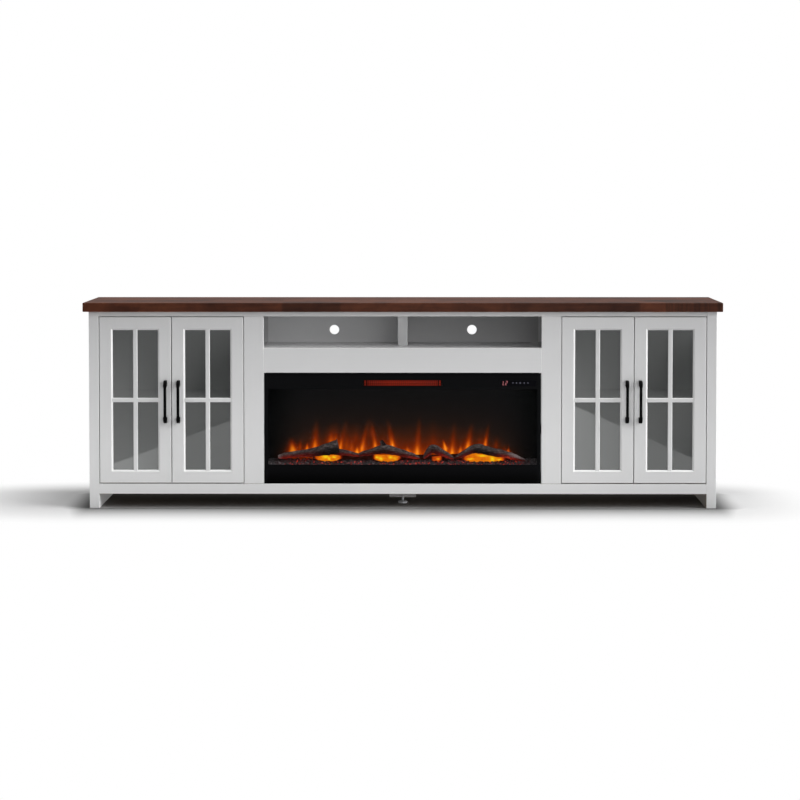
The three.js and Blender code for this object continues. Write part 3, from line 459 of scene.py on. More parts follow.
def glow_sheet():
    """The lit resin under the logs: orange, with yellow where it is thinnest."""
    finish = Finish("glow_sheet", (0.03, 0.006, 0.002), 0.5, 0.05, glow=1.0)
    heat = finish.attribute("warmth")
    mottle = finish.noise(1.0, 3.0, 0.55, 0.4, at=finish.place((60, 60, 90)))
    lit = heat * (0.55 + mottle * 0.9)
    glow = finish.ramp(lit, [
        (0.00, (0.0060, 0.0010, 0.0006)),
        (0.15, (0.1300, 0.0090, 0.0012)),
        (0.35, (0.5200, 0.0620, 0.0015)),
        (0.60, (0.8000, 0.1900, 0.0020)),
        (0.85, (0.9200, 0.3900, 0.0040)),
        (1.00, (0.9600, 0.6400, 0.0100)),
    ])
    return finish.feed(Emission_Color=glow, Roughness=0.4 + mottle * 0.3).material


def burnt_bark():
    """Charred logs: grey-brown bark, with painted shade that turns it black below, and a red glow where
    heat is stored.
    """
    finish = Finish("burnt_bark", (0.05, 0.04, 0.035), 0.85, 0.1, glow=1.0)
    heat, ash, up = (finish.attribute(name) for name in ("warmth", "ash", "upward"))
    along = finish.noise(1.0, 5.0, 0.68, 0.5, at=finish.place((60, 220, 220)))
    flakes = finish.noise(1.0, 4.0, 0.6, at=finish.place((260, 420, 420)))
    crack = finish.cells(1.0, at=finish.place((70, 190, 190)))
    bark = finish.ramp(along * 0.62 + flakes * 0.42, [
        (0.36, (0.0100, 0.0085, 0.0080)),
        (0.48, (0.0480, 0.0380, 0.0350)),
        (0.60, (0.1650, 0.1350, 0.1250)),
        (0.74, (0.3600, 0.3050, 0.2900)),
    ])
    # Painted shade: the bark darkens to black towards the underside.
    shaded = finish.blend(up.between(-0.35, 0.75), (0.012, 0.009, 0.008), bark)
    pale = finish.blend(ash * (0.35 + flakes * 0.9), shaded, (0.46, 0.38, 0.36))
    embers = heat * (along * 0.9 + flakes * 0.5).between(0.42, 0.86)
    glow = finish.ramp(embers, [
        (0.00, (0.0, 0.0, 0.0)),
        (0.30, (0.0550, 0.0030, 0.0016)),
        (0.70, (0.2300, 0.0120, 0.0060)),
        (1.00, (0.5600, 0.0600, 0.0150)),
    ])
    return finish.feed(
        Base_Color=pale,
        Emission_Color=glow,
        Roughness=0.72 + flakes * 0.22,
        Normal=finish.bump(along * 0.8 + flakes * 0.35 + crack * 0.5, 0.0012),
    ).material


def coals():
    """Burnt coals: black and grey, with red light in the gaps and ash at both ends."""
    finish = Finish("coals", (0.02, 0.02, 0.02), 0.9, 0.2, glow=1.0)
    heat, ash = finish.attribute("warmth"), finish.attribute("ash")
    mottle = finish.noise(260.0, 4.0, 0.65)
    grit = finish.noise(900.0, 3.0, 0.6)
    body = finish.ramp(mottle * 0.7 + grit * 0.3, [
        (0.40, (0.0028, 0.0026, 0.0028)),
        (0.52, (0.0200, 0.0160, 0.0160)),
        (0.62, (0.1500, 0.1300, 0.1280)),
    ])
    dust_and_shade = finish.blend(ash * (0.1 + mottle * 0.6), body, (0.150, 0.140, 0.142))
    glow = finish.ramp(heat * (0.3 + mottle * 1.1), [
        (0.00, (0.0, 0.0, 0.0)),
        (0.35, (0.0600, 0.0020, 0.0020)),
        (0.65, (0.3300, 0.0100, 0.0080)),
        (1.00, (0.8500, 0.0700, 0.0200)),
    ])
    return finish.feed(
        Base_Color=dust_and_shade,
        Emission_Color=glow,
        Roughness=0.8 + grit * 0.15,
        Normal=finish.bump(mottle * 0.6 + grit * 0.3, 0.0008),
    ).material


def lit_sign(name, color, strength):
    """A lit mark behind black glass, uneven as small lamps are."""
    finish = Finish(name, (0.01, 0.01, 0.01), 0.5, glow=strength)
    uneven = finish.noise(400.0, 2.0)
    dim = tuple(0.75 * part for part in color)
    return finish.feed(Emission_Color=finish.blend(uneven, dim, color)).material


# Meshes


def grid_faces(rows, columns, wrap_rows=False, wrap_columns=False):
    """Four-sided faces of a grid numbered row by row; a wrapped side also joins last to first."""
    row = np.arange(rows if wrap_rows else rows - 1)[:, None]
    column = np.arange(columns if wrap_columns else columns - 1)[None, :]
    next_row, next_column = (row + 1) % rows, (column + 1) % columns
    corners = (
        row * columns + column,
        row * columns + next_column,
        next_row * columns + next_column,
        next_row * columns + column,
    )
    return np.stack(np.broadcast_arrays(*corners), -1).reshape(-1, 4)


def make_piece(name, points, faces, material, slot, body="cabinet", smooth=True, values=None):
    """A mesh object from arrays, with its faces turned outwards. Doubles are merged, unless it
    stores values on its points, whose order then has to stay."""
    mesh = bpy.data.meshes.new(name)
    polygons = [face for group in faces for face in np.asarray(group).tolist()]
    mesh.from_pydata(np.asarray(points, float).reshape(-1, 3).tolist(), [], polygons)
    for key, field in (values or {}).items():
        stored = mesh.attributes.new(key, "FLOAT", "POINT")
        stored.data.foreach_set("value", np.asarray(field, np.float32))
    work = bmesh.new()
    work.from_mesh(mesh)
    if values is None:
        bmesh.ops.remove_doubles(work, verts=work.verts, dist=1e-6)
    bmesh.ops.recalc_face_normals(work, faces=work.faces)
    work.to_mesh(mesh)
    work.free()
    mesh.polygons.foreach_set("use_smooth", np.full(len(mesh.polygons), smooth))
    mesh.materials.append(material)
    mesh.update()
    made = add_object(name, mesh)
    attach(made, body)
    return made


def add_object(name, data):
    """A new object in the scene that shows the given data."""
    made = bpy.data.objects.new(name, data)
    bpy.context.scene.collection.objects.link(made)
    return made


def rounded_board(low, high, radius, steps=3):
    """Points and faces of a board with round edges. Each point of the box's six faces moves to
    the point at the radius's distance from the box that is smaller by the radius all round."""
    low, high = np.asarray(low, float), np.asarray(high, float)
    bend = radius * np.tan(np.linspace(0, math.pi / 4, steps + 1))
    points, faces, start = [], [], 0
    for axis in range(3):
        first, second = (axis + 1) % 3, (axis + 2) % 3
        lines = [
            np.concatenate([(low[a] + radius - bend)[::-1], high[a] - radius + bend])
            for a in (first, second)
        ]
        u, v = np.meshgrid(*lines, indexing="ij")
        for side, face_place in ((0, low[axis]), (1, high[axis])):
            flat = np.empty(u.shape + (3,))
            flat[..., axis], flat[..., first], flat[..., second] = face_place, u, v
            inner = np.clip(flat, low + radius, high - radius)
            away = flat - inner
            away *= radius / np.linalg.norm(away, axis=-1, keepdims=True)
            points.append((inner + away).reshape(-1, 3))
            quads = grid_faces(*u.shape)
            faces.append((quads if side else quads[:, ::-1]) + start)
            start += u.size
    return np.concatenate(points), faces


def closed_tube(centres, sideways, outwards, side_reach, out_reach):
    """Points and faces of a tube with a fan over each end. A ring's points are its centre plus
    their reach along each of the two directions that belong to that centre."""
    count, around = side_reach.shape
    rings = (
        centres[:, None, :]
        + sideways[:, None, :] * side_reach[..., None]
        + outwards[:, None, :] * out_reach[..., None]
    )
    ring = np.arange(around)
    following = (ring + 1) % around
    last = (count - 1) * around
    caps = [
        np.stack([following, ring, np.full(around, count * around)], -1),
        np.stack([last + ring, last + following, np.full(around, count * around + 1)], -1),
    ]
    points = np.concatenate([rings.reshape(-1, 3), centres[[0, -1]]])
    return points, [grid_faces(count, around, wrap_columns=True), *caps]


def bell(place, middle, width):
    """A bell curve: e to the power of minus the square of the distance over the width."""
    return np.exp(-(((place - middle) / width) ** 2))


def gather(shapes):
    """Several shapes' points and faces as one."""
    points, faces, start = [], [], 0
    for some_points, some_faces in shapes:
        points.append(some_points)
        faces += [np.asarray(group) + start for group in some_faces]
        start += len(some_points)
    return np.concatenate(points), faces


def rim_of(rows, columns):
    """Numbers of a grid's outer points, in order round it."""
    grid = np.arange(rows * columns).reshape(rows, columns)
    return np.concatenate([grid[0, :-1], grid[:-1, -1], grid[-1, :0:-1], grid[:0:-1, 0]])


def cubic_through(values, wanted):
    """Catmull-Rom curve through values at even places from 0 to 1: each stretch is the cubic that
    meets both ends and has half the neighbours' difference as its slope there."""
    padded = np.concatenate([
        [2 * values[0] - values[1]], values, [2 * values[-1] - values[-2]]
    ])
    scaled = wanted * (len(values) - 1)
    index = np.minimum(scaled.astype(int), len(values) - 2)
    t = scaled - index
    a, b, c, d = (padded[index + shift] for shift in range(4))
    return b + 0.5 * t * (c - a + t * (2 * a - 5 * b + 4 * c - d + t * (3 * (b - c) + d - a)))


def hash_noise(*places):
    """An even random number for each whole-numbered place: the part after the point of a large
    multiple of the sine of a weighted sum."""
    weights = (12.9898, 78.233, 37.719)
    total = sum(np.asarray(place) * weight for place, weight in zip(places, weights))
    return np.mod(np.sin(total + SEED) * 43758.5453, 1.0)


def soft_noise(u, v):
    """Smooth noise of two numbers: random values at whole places, eased between them."""
    cell_u, cell_v = np.floor(u), np.floor(v)
    ease = [(3 - 2 * t) * t * t for t in (u - cell_u, v - cell_v)]
    low = hash_noise(cell_u, cell_v) * (1 - ease[0]) + hash_noise(cell_u + 1, cell_v) * ease[0]
    high = (
        hash_noise(cell_u, cell_v + 1) * (1 - ease[0])
        + hash_noise(cell_u + 1, cell_v + 1) * ease[0]
    )
    return low * (1 - ease[1]) + high * ease[1]


def rough_noise(u, v, octaves=4):
    """Soft noise added up: each layer is twice as fine and half as strong as the last."""
    total = sum(soft_noise(u * 2**n + 7 * n, v * 2**n) / 2**n for n in range(octaves))
    return total / sum(2.0**-n for n in range(octaves))


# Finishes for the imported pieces

paint_upright = painted("white_paint_upright", (1, 1, 0.03))
paint_level = painted("white_paint_level", (0.03, 1, 1))
wood, coat, plate, trim = dark_wood(), black_metal(), plate_coat(), window_trim()
zinc, plastic, element, flames = steel(), black_plastic(), hot_element(), flame_picture()
glow, bark, ember_coals = glow_sheet(), burnt_bark(), coals()
door_glass = clear_glass("door_glass", (0.66, 0.685, 0.675), 5.7, 0.045, (0.60, 0.63, 0.62))
fire_glass = clear_glass("fire_glass", (0.95, 0.95, 0.96), 0.03, 0.002, (0.20, 0.20, 0.20))
slot_finishes = {
    "white_paint": paint_level, "dark_wood": wood, "black_metal": coat, "steel": zinc,
    "door_glass": door_glass, "fire_glass": fire_glass, "black_plastic": plastic,
    "hot_element": element, "flame_screen": flames, "log_resin": bark,
}
upright_ends = ("post", "stile", "end_panel", "partition", "back_panel", "_frame", "_muntins")
slots = {part["node"]: part["material_slot"] for part in frame["record"]["subparts"]}
for name, node in frame["nodes"].items():
    finish = slot_finishes[slots[name]]
    if finish is paint_level and name.endswith(upright_ends):
        finish = paint_upright
    if name == "fire_front_plate":
        finish = plate
    node.data.materials.clear()
    node.data.materials.append(finish)


# Doors

# How far each pull stands from the middle of its packed handle, along X and Z
HANDLE_MOVES_MM = {
    "left_outer_door": (2.8, -5.9), "left_inner_door": (1.5, -5.9),
    "right_inner_door": (-1.1, -5.9), "right_outer_door": (-0.9, -5.9),
}
PULL_LENGTH, PULL_BEND = 165.5 * MM, 8 * MM
PULL_FOOT, PULL_FOOT_WIDTH, PULL_FLARE = 23.5 * MM, 13.2 * MM, 3.5 * MM
PULL_BAR_WIDTH, PULL_BAR_DEPTH, PULL_LEG_TAPER = 10.6 * MM, 9 * MM, 5 * MM
PULL_SCREW_SPACING = 142 * MM


def pull_place(door):
    """Where a pull's middle meets its door, and how far it stands out."""
    low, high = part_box(f"{door}_handle")
    move_x, move_z = (move * MM for move in HANDLE_MOVES_MM[door])
    middle = ((low.x + high.x) / 2 + move_x, high.y, (low.z + high.z) / 2 + move_z)
    return middle, high.y - low.y


def add_handle(door):
    """A bar pull: a line out of the door, round two bends and back in. Its rings are widest at
    the square feet, and step down to the bar's width past them."""
    middle, reach = pull_place(door)
    foot_z = (PULL_LENGTH - PULL_FOOT) / 2
    bar_y = PULL_BAR_DEPTH / 2 - reach
    leg_y = np.linspace(0, bar_y + PULL_BEND, 6)[:-1]
    turn = np.linspace(0, math.pi / 2, 9)
    # Rings lie close together past the bend, and at even steps along the bar.
    past_bend_mm = np.concatenate([[0.8, 1.6, 2.6, 4.0, 5.4, 6.8], np.linspace(10, 61, 8)])
    bar_z = foot_z - PULL_BEND - past_bend_mm * MM
    half_y = [leg_y, bar_y + PULL_BEND * (1 - np.sin(turn)), np.full(len(bar_z), bar_y)]
    half_z = [np.full(len(leg_y), foot_z), foot_z - PULL_BEND * (1 - np.cos(turn)), bar_z]
    half_y, half_z = np.concatenate(half_y), np.concatenate(half_z)
    path_y = np.concatenate([half_y, half_y[::-1]])
    path_z = np.concatenate([half_z, -half_z[::-1]])
    centres = np.stack([np.zeros(len(path_y)), path_y, path_z], -1) + middle
    heading = np.gradient(centres, axis=0)
    heading /= np.linalg.norm(heading, axis=1, keepdims=True)
    sideways = np.tile([1.0, 0.0, 0.0], (len(centres), 1))
    outwards = np.cross(sideways, heading)
    inner_end = PULL_LENGTH / 2 - PULL_FOOT - PULL_FLARE
    step = np.clip((np.abs(path_z) - inner_end) / PULL_FLARE, 0, 1)
    width = PULL_BAR_WIDTH + (PULL_FOOT_WIDTH - PULL_BAR_WIDTH) * step * step * (3 - 2 * step)
    leg = np.clip((np.abs(path_z) - (foot_z - PULL_BEND)) / PULL_BEND, 0, 1)
    leg_deep = PULL_FOOT / 2 - PULL_LEG_TAPER * np.clip(-path_y / reach, 0, 1) ** 2.5
    half_deep = PULL_BAR_DEPTH / 2 + (leg_deep - PULL_BAR_DEPTH / 2) * leg**1.5
    # Each ring is a superellipse: cosine and sine, raised to 2 / 7 with their signs kept.
    angle = np.linspace(0, 2 * math.pi, 32, endpoint=False)
    waves = np.cos(angle), np.sin(angle)
    across, along = (np.sign(wave) * np.abs(wave) ** (2 / 7) for wave in waves)
    reaches = np.outer(width / 2, across), np.outer(half_deep, along)
    shape = closed_tube(centres, sideways, outwards, *reaches)
    made = make_piece(f"{door}_pull", *shape, coat, "black_metal", door)
    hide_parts(f"{door}_handle")


def screw_head(centre, radius, rise):
    """Points and faces of a cross-recess screw head that looks back, along Y. Height over radius
    is a dome, less a cross whose arms are cosines of twice the angle."""
    turn = np.linspace(0, 2 * math.pi, 32, endpoint=False)
    share = np.array([0.0, 0.15, 0.3, 0.45, 0.6, 0.8, 0.94, 1.0, 1.0])
    dome = np.sqrt(1 - share**2 * 0.82)
    dome[-1] = 0
    arms = np.clip(np.abs(np.cos(2 * turn)) * 4 - 3, 0, 1)
    recess = np.outer(np.clip(1.6 - share * 2.4, 0, 1), arms) * 0.7
    height = rise * np.clip(dome[:, None] - recess, 0, 1)
    out = radius * share
    points = np.stack([np.outer(out, np.cos(turn)), height, np.outer(out, np.sin(turn))], -1)
    faces = grid_faces(len(share), len(turn), wrap_columns=True)
    return (points + centre).reshape(-1, 3), [faces]


def mitred_frame(low, high, inward, y):
    """Points and faces of a moulding round a rectangle of X and Z. Its profile, given by how far
    its points lie inward and by their Y, is set at each corner and closed round."""
    corners = []
    for x_side, z_side in ((0, 0), (1, 0), (1, 1), (0, 1)):
        x = high[0] - inward if x_side else low[0] + inward
        z = high[1] - inward if z_side else low[1] + inward
        corners.append(np.stack([x, y, z], -1))
    return np.concatenate(corners), [grid_faces(4, len(y), True, True)]


def add_door_fittings(door):
    """Mitred beads behind the glass, and the handle's screws."""
    glass_low, glass_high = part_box(f"{door}_glass")
    frame_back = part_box(f"{door}_frame")[1].y
    margin, width = 0.5 * MM, 6 * MM
    depth = frame_back - glass_high.y
    arc = np.linspace(0, math.pi / 2, 7)
    inward = np.concatenate([[0.0, width], width * np.cos(arc), [0.0]])
    rise = np.concatenate([[0.0, 0.0], depth * (0.25 + 0.75 * np.sin(arc)), [depth]])
    low = (glass_low.x - margin, glass_low.z - margin)
    high = (glass_high.x + margin, glass_high.z + margin)
    bead = mitred_frame(low, high, inward, glass_high.y + rise)
    make_piece(f"{door}_glass_bead", *bead, paint_level, "white_paint", door, smooth=False)
    x, _, z = pull_place(door)[0]
    radius, rise, from_middle = 3.6 * MM, 2.0 * MM, PULL_SCREW_SPACING / 2
    heads = [
        screw_head((x, frame_back, z + shift), radius, rise) for shift in (-from_middle, from_middle)
    ]
    make_piece(f"{door}_handle_screws", *gather(heads), zinc, "steel", door)


def add_strike(door, side):
    """The thin steel plate on a door's back that its catch holds."""
    frame_low, frame_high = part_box(f"{door}_frame")
    catch_low, catch_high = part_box(f"{side}_door_catch")
    inset, length, thickness, top_margin = 4 * MM, 19 * MM, 0.35 * MM, 1.5 * MM
    middle = (catch_low.x + catch_high.x) / 2
    way = 1 if (frame_low.x + frame_high.x) / 2 > middle else -1
    left, right = sorted((middle + way * inset, middle + way * (inset + length)))
    low = (left, frame_high.y, catch_low.z + 1 * MM)
    high = (right, frame_high.y + thickness, frame_high.z - top_margin)
    shape = rounded_board(low, high, 0.15 * MM, 2)
    make_piece(f"{door}_strike_plate", *shape, zinc, "steel", door)


for door in ("left_outer_door", "left_inner_door", "right_inner_door", "right_outer_door"):
    add_handle(door)
    add_door_fittings(door)
    add_strike(door, door.split("_")[0])


# Electric fire

plate_front, panel_front = (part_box(name)[0].y for name in ("fire_front_plate", "control_panel"))
grille_low, grille_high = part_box("heater_grille")
screen_low, screen_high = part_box("flame_screen")
bed_low, bed_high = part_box("log_and_ember_bed")

# Each row: X of the foot, height of the foot and of the tip, lean to the tip, half width, heat
FLAME_TONGUES_MM = [
    (-429, 210, 264, -9, 12, 1.35), (-401, 226, 262, 2, 6, 0.35), (-374, 216, 242, 2, 6, 1.00),
    (-343, 226, 339, 8, 9, 0.85), (-281, 250, 322, 4, 12, 0.50), (-262, 250, 339, 8, 9, 0.34),
    (-243, 224, 333, 26, 7, 0.66), (-218, 235, 340, 4, 7, 0.22), (-199, 222, 318, 4, 8, 0.24),
    (-182, 262, 336, 2, 8, 0.16), (-179, 202, 226, 1, 6.5, 1.00), (-159, 219, 341, 33, 7, 0.72),
    (-124, 280, 352, 0, 11, 0.16), (-106, 224, 325, -17, 6.5, 0.82), (-40, 230, 338, -22, 7.5, 0.86),
    (-70, 220, 320, -12, 12, 0.20), (21, 207, 228, -4, 9, 0.55), (56, 197, 348, 12, 7.5, 0.78),
    (93, 203, 224, 3, 6, 0.60), (121, 246, 356, -2, 10, 0.16), (167, 221, 256, -12, 5.2, 1.15),
    (192, 195, 322, 12, 7, 0.76), (224, 210, 232, 3, 6, 0.62), (254, 225, 322, 20, 8.5, 0.92),
    (322, 236, 326, 17, 6, 0.86), (300, 240, 318, 12, 10, 0.22), (365, 230, 272, 4, 9, 0.26),
    (411, 207, 222, 2, 6.5, 1.00), (395, 212, 240, 4, 9, 0.24),
]


def flame_heat(x, z):
    """Heat at a place on the screen, in millimetres. Each tongue is a soft bell across a line
    that leans, whose width and strength fall towards the tip, with a narrow bright bell low
    down in it. The haze is a flat-topped bell across times a fall with height."""
    heat = np.zeros_like(x)
    for foot_x, foot, tip, lean, half_width, strength in FLAME_TONGUES_MM:
        rise = (z - foot) / (1.12 * (tip - foot))
        held = np.clip(rise, 0, 1)
        away = x - foot_x - lean * held**1.2
        width = half_width * (0.55 + 0.9 * (1 - held) ** 0.9)
        fall = np.where(rise < 0, np.exp(rise * 5), (1 - held) ** 0.95)
        body = bell(away, 0, 1.35 * width) * fall
        core = bell(away, 0, 0.58 * width) * bell(rise, 0.02, 21 / (tip - foot))
        heat += strength * (0.32 * body + 0.36 * core)
    spread = np.exp(-np.abs((x + 30) / 450) ** 4)
    rise = np.clip(z - 200, 0, None)
    haze = spread * (0.30 * np.exp(-((rise / 118) ** 1.7)) + 0.25 * np.exp(-rise / 38))
    return haze + heat * np.clip(1.25 - 0.3 * heat, 0.6, 1.2)


def add_flame_screen():
    """A flat sheet on the screen's place, whose front points carry the heat of the flames."""
    columns, rows = 425, 149
    x, z = np.meshgrid(
        np.linspace(screen_low.x, screen_high.x, columns),
        np.linspace(screen_low.z, screen_high.z, rows), indexing="ij",
    )
    front = np.stack([x, np.full_like(x, screen_low.y), z], -1).reshape(-1, 3)
    grid = np.arange(x.size).reshape(x.shape)
    back = front[grid[[0, 0, -1, -1], [0, -1, 0, -1]]]
    back[:, 1] = screen_high.y
    low_left, high_left, low_right, high_right = range(x.size, x.size + len(back))
    sides = [
        [*grid[0], high_left, low_left], [*grid[-1, ::-1], low_right, high_right],
        [*grid[::-1, 0], low_left, low_right], [*grid[:, -1], high_right, high_left],
        [low_left, high_left, high_right, low_right],
    ]
    faces = [grid_faces(*x.shape), *([side] for side in sides)]
    heat = np.pad(flame_heat(x / MM, z / MM).ravel(), (0, len(back)))
    made = make_piece("flame_picture", np.concatenate([front, back]), faces, flames,
                      "flame_screen", smooth=False, values={"warmth": heat})
    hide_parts("flame_screen")


add_flame_screen()

# Each log's rows: X, height of its middle, radius, place from the bed's front, in millimetres
LOGS_MM = {
    "left_log": [(-484, 193, 7, 38), (-455, 199, 11, 38), (-415, 204, 12, 38), (-372, 209, 14, 39),
                 (-328, 216, 18, 40), (-295, 224, 22, 41), (-268, 231, 24.5, 42), (-250, 235, 25, 42)],
    "left_branch": [(-268, 214, 13, 50), (-240, 211, 12, 49), (-205, 206, 9.5, 47), (-166, 199, 5, 45)],
    "middle_log": [(-176, 200, 5, 44), (-150, 207, 9, 43), (-118, 214, 12, 42), (-92, 221, 16, 42),
                   (-67, 224, 18, 42), (-36, 217, 16, 42), (-3, 208, 13.5, 42), (30, 200, 11, 41),
                   (66, 189, 5, 40)],
    "short_log": [(80, 188, 5, 42), (93, 203, 10, 42), (107, 219, 14, 43), (118, 225, 15.5, 43),
                  (132, 220, 15, 43), (152, 210, 13.5, 43), (175, 199, 11, 42), (200, 187, 5, 41)],
    "right_log": [(203, 189, 5, 42), (228, 201, 10, 42), (252, 213, 13, 43), (271, 224, 15, 44),
                  (286, 226.5, 16, 44), (310, 223, 16, 44), (338, 216, 16, 43), (366, 209, 15.5, 43),
                  (396, 204, 13.5, 42), (430, 195, 11, 41), (476, 181, 5, 40)],
    "stub": [(-66, 228, 14, 43), (-73, 238, 10, 43), (-79, 249, 7.5, 43), (-83, 258, 5, 43)],
}
# Where each log glows red: middle and width as shares of its length from the left, and strength
LOG_HEAT_SHARES = {
    "left_log": [(0.14, 0.20, 0.75), (0.42, 0.14, 0.42)],
    "left_branch": [(0.85, 0.4, 0.9), (0.3, 0.2, 0.3)],
    "middle_log": [(0.12, 0.2, 0.50), (0.75, 0.2, 0.40), (0.97, 0.12, 0.8)],
    "short_log": [(0.08, 0.2, 0.75), (0.85, 0.3, 0.8)],
    "right_log": [(0.1, 0.16, 0.6), (0.84, 0.14, 0.9)],
    "stub": [],
}


def add_log(name, rows):
    """A limb along a smooth line through its rows. Its radius is the rows' radius, times one plus
    long ridges, flakes and knots from noise over length and angle."""
    rows = np.array(rows, float) * MM
    fine = np.linspace(0, 1, max(60, int((rows[-1, 0] - rows[0, 0]) / (1.8 * MM))))
    x, height, thick, depth = (cubic_through(rows[:, column], fine) for column in range(4))
    centres = np.stack([x, bed_low.y + depth, height], -1)
    heading = np.gradient(centres, axis=0)
    length = np.linalg.norm(heading, axis=1, keepdims=True)
    heading /= length
    inward = np.tile([0.0, 1.0, 0.0], (len(centres), 1))
    upward = np.cross(heading, inward)
    upward /= np.linalg.norm(upward, axis=1, keepdims=True)
    if name != "stub":
        upward *= np.sign(upward[:, 2:3] + 1e-9)
    angle = np.linspace(0, 2 * math.pi, 56, endpoint=False)
    u, v = np.meshgrid(np.cumsum(length) / MM, angle, indexing="ij")
    seed = sum(map(ord, name)) % 97
    near, up = np.cos(v), np.sin(v)
    ridges = rough_noise(u / 34 + seed, 3 + 2.6 * near + 1.9 * up + seed, 4) - 0.5
    flakes = rough_noise(u / 7 + seed, 9 + 6 * near + 5 * up, 3) - 0.5
    knots = np.maximum(0, rough_noise(u / 26 + 3 * seed, 5 + 1.4 * near + 1.7 * up, 2) - 0.62)
    # The left log is cut off at its right end, with a horn of bark over the cut.
    cut = name == "left_log"
    share = fine[:, None]
    ends = np.minimum(np.minimum(share, 1 - share + cut) * 24, 1)
    horn = cut * bell(share, 1.0, 0.03) * np.maximum(0, up) ** 8
    radius = thick[:, None] * (1 + 0.34 * ridges + 0.10 * flakes + 0.9 * knots)
    radius = radius * (0.55 + 0.45 * np.sqrt(ends)) + 6 * MM * horn
    spots = LOG_HEAT_SHARES[name]
    heat = sum((strength * bell(share, middle, width) for middle, width, strength in spots), 0 * u)
    heat = heat * np.clip(0.55 - 0.85 * up, 0.08, 1)
    ash = 0 * u
    if name == "left_log":
        ash = ash + bell(share, 0.0, 0.05)
    if name == "right_log":
        ash = bell(share, 0.93, 0.07) * np.clip(0.4 + up, 0, 1)
    points, faces = closed_tube(centres, inward, upward, radius * near, radius * up)
    fields = {"warmth": heat, "ash": ash, "upward": up}
    values = {key: np.pad(field.ravel(), (0, 2)) for key, field in fields.items()}
    make_piece(name, points, faces, bark, "log_resin", smooth=False, values=values)


# Where the bed is lit under the logs: X from, X to, lower and upper edge in its middle, strength.
# Most patches are open at the top, and their upper edge is far above the sheet.
OPEN_TOP = 999
GLOW_PATCHES_MM = [
    (-340, -240, 175, OPEN_TOP, 0.59), (-112, -10, 173, OPEN_TOP, 0.55),
    (114, 152, 171, 196.36, 0.34), (240, 394, 168, OPEN_TOP, 0.56),
]
# Hot spots: X, height, half width and half height
GLOW_SPOTS_MM = [
    (-300, 192, 12, 8), (-286, 184, 6, 7), (-268, 190, 8, 5), (-102, 190, 8, 6), (-84, 184, 9, 7),
    (-48, 190, 8, 6), (-28, 186, 8, 7), (262, 184, 16, 4), (310, 196, 22, 4), (349, 184, 11, 14),
    (376, 182, 12, 4), (138, 184, 6, 4),
]


def glow_heat(x, z):
    """Heat of the lit sheet. Each patch is a flat-topped bell across, cut off below a line that
    bows upward to its ends and has small steps in it from noise, and above one that rises to the
    right. Hot spots are added where it is lit."""
    heat = np.zeros_like(x)
    ragged = 4.0 * (rough_noise(x / 7 + 11, x * 0 + 2, 2) - 0.5)
    for left, right, low, high, strength in GLOW_PATCHES_MM:
        middle, half = (left + right) / 2, (right - left) / 2
        away = np.abs(x - middle) / half
        above = np.clip((z - low - 9 * away**2.5 - ragged) / 1.6 + 0.5, 0, 1)
        below = np.clip((high + 0.12 * (x - middle) - z) / 3, 0, 1)
        heat = np.maximum(heat, strength * np.exp(-(away**9)) * above * below)
    lit = np.clip(heat * 3, 0, 1)
    for spot_x, spot_z, wide, tall in GLOW_SPOTS_MM:
        heat = heat + 0.45 * bell(x, spot_x, wide) * bell(z, spot_z, tall) * lit
    return heat


def add_glow_sheet():
    """A thin wavy sheet that stands in the bed behind the logs, lit through under each arch."""
    bottom, height = 158, 56
    x, share = np.meshgrid(np.linspace(-350, 410, 571), np.linspace(0, 1, 57), indexing="ij")
    wave = 3.0 * (rough_noise(x / 22, (bottom + share * height) / 16, 3) - 0.5)
    top = 200 + 10 * bell(x, 300, 90) + 3 * (rough_noise(x / 15, x * 0, 2) - 0.5)
    z = bottom + share * (top - bottom)
    front, back = (
        np.stack([x * MM, bed_low.y + (depth + wave) * MM, z * MM], -1).reshape(-1, 3)
        for depth in (57.0, 58.5)
    )
    rim = rim_of(*x.shape)
    following = np.roll(rim, -1)
    walls = np.stack([rim + x.size, following + x.size, following, rim], -1)
    quads = grid_faces(*x.shape)
    heat = glow_heat(x, z).ravel()
    faces = [quads, quads[:, ::-1] + x.size, walls]
    values = {"warmth": np.concatenate([heat, 0.3 * heat])}
    make_piece("ember_light", np.concatenate([front, back]), faces, glow, "log_resin",
               smooth=False, values=values)


def lump_field(x, y):
    """Height, distance to the nearest lump's middle, and a random tint. Each lump is the cap of a
    ball round a jittered point of a lattice, and the highest cap at a place is what shows."""
    lumps, nearest, tint = np.zeros_like(x), np.full_like(x, 9.0), np.zeros_like(x)
    steps = [(a, b) for a in (-1, 0, 1) for b in (-1, 0, 1)]
    for pitch, cap in ((12.5, 8.5), (7.5, 5.0)):
        for step_x, step_y in steps:
            spot_x, spot_y = np.floor(x / pitch) + step_x, np.floor(y / pitch) + step_y
            centre_x = (spot_x + 0.5 + 0.8 * (hash_noise(spot_x, spot_y) - 0.5)) * pitch
            centre_y = (spot_y + 0.5 + 0.8 * (hash_noise(spot_y, spot_x, spot_x) - 0.5)) * pitch
            size = 0.55 + 0.45 * hash_noise(spot_x, spot_y, spot_y)
            far = np.hypot((x - centre_x) * (0.7 + 0.6 * size), y - centre_y) / (pitch * 0.72)
            height = cap * size * np.sqrt(np.maximum(0, 1 - far**2))
            tint = np.where(height > lumps, hash_noise(spot_x, spot_y, size), tint)
            nearest = np.minimum(nearest, far)
            lumps = np.maximum(lumps, height)
    return lumps + 1.2 * (rough_noise(x / 5, y / 5, 3) - 0.5), nearest, tint


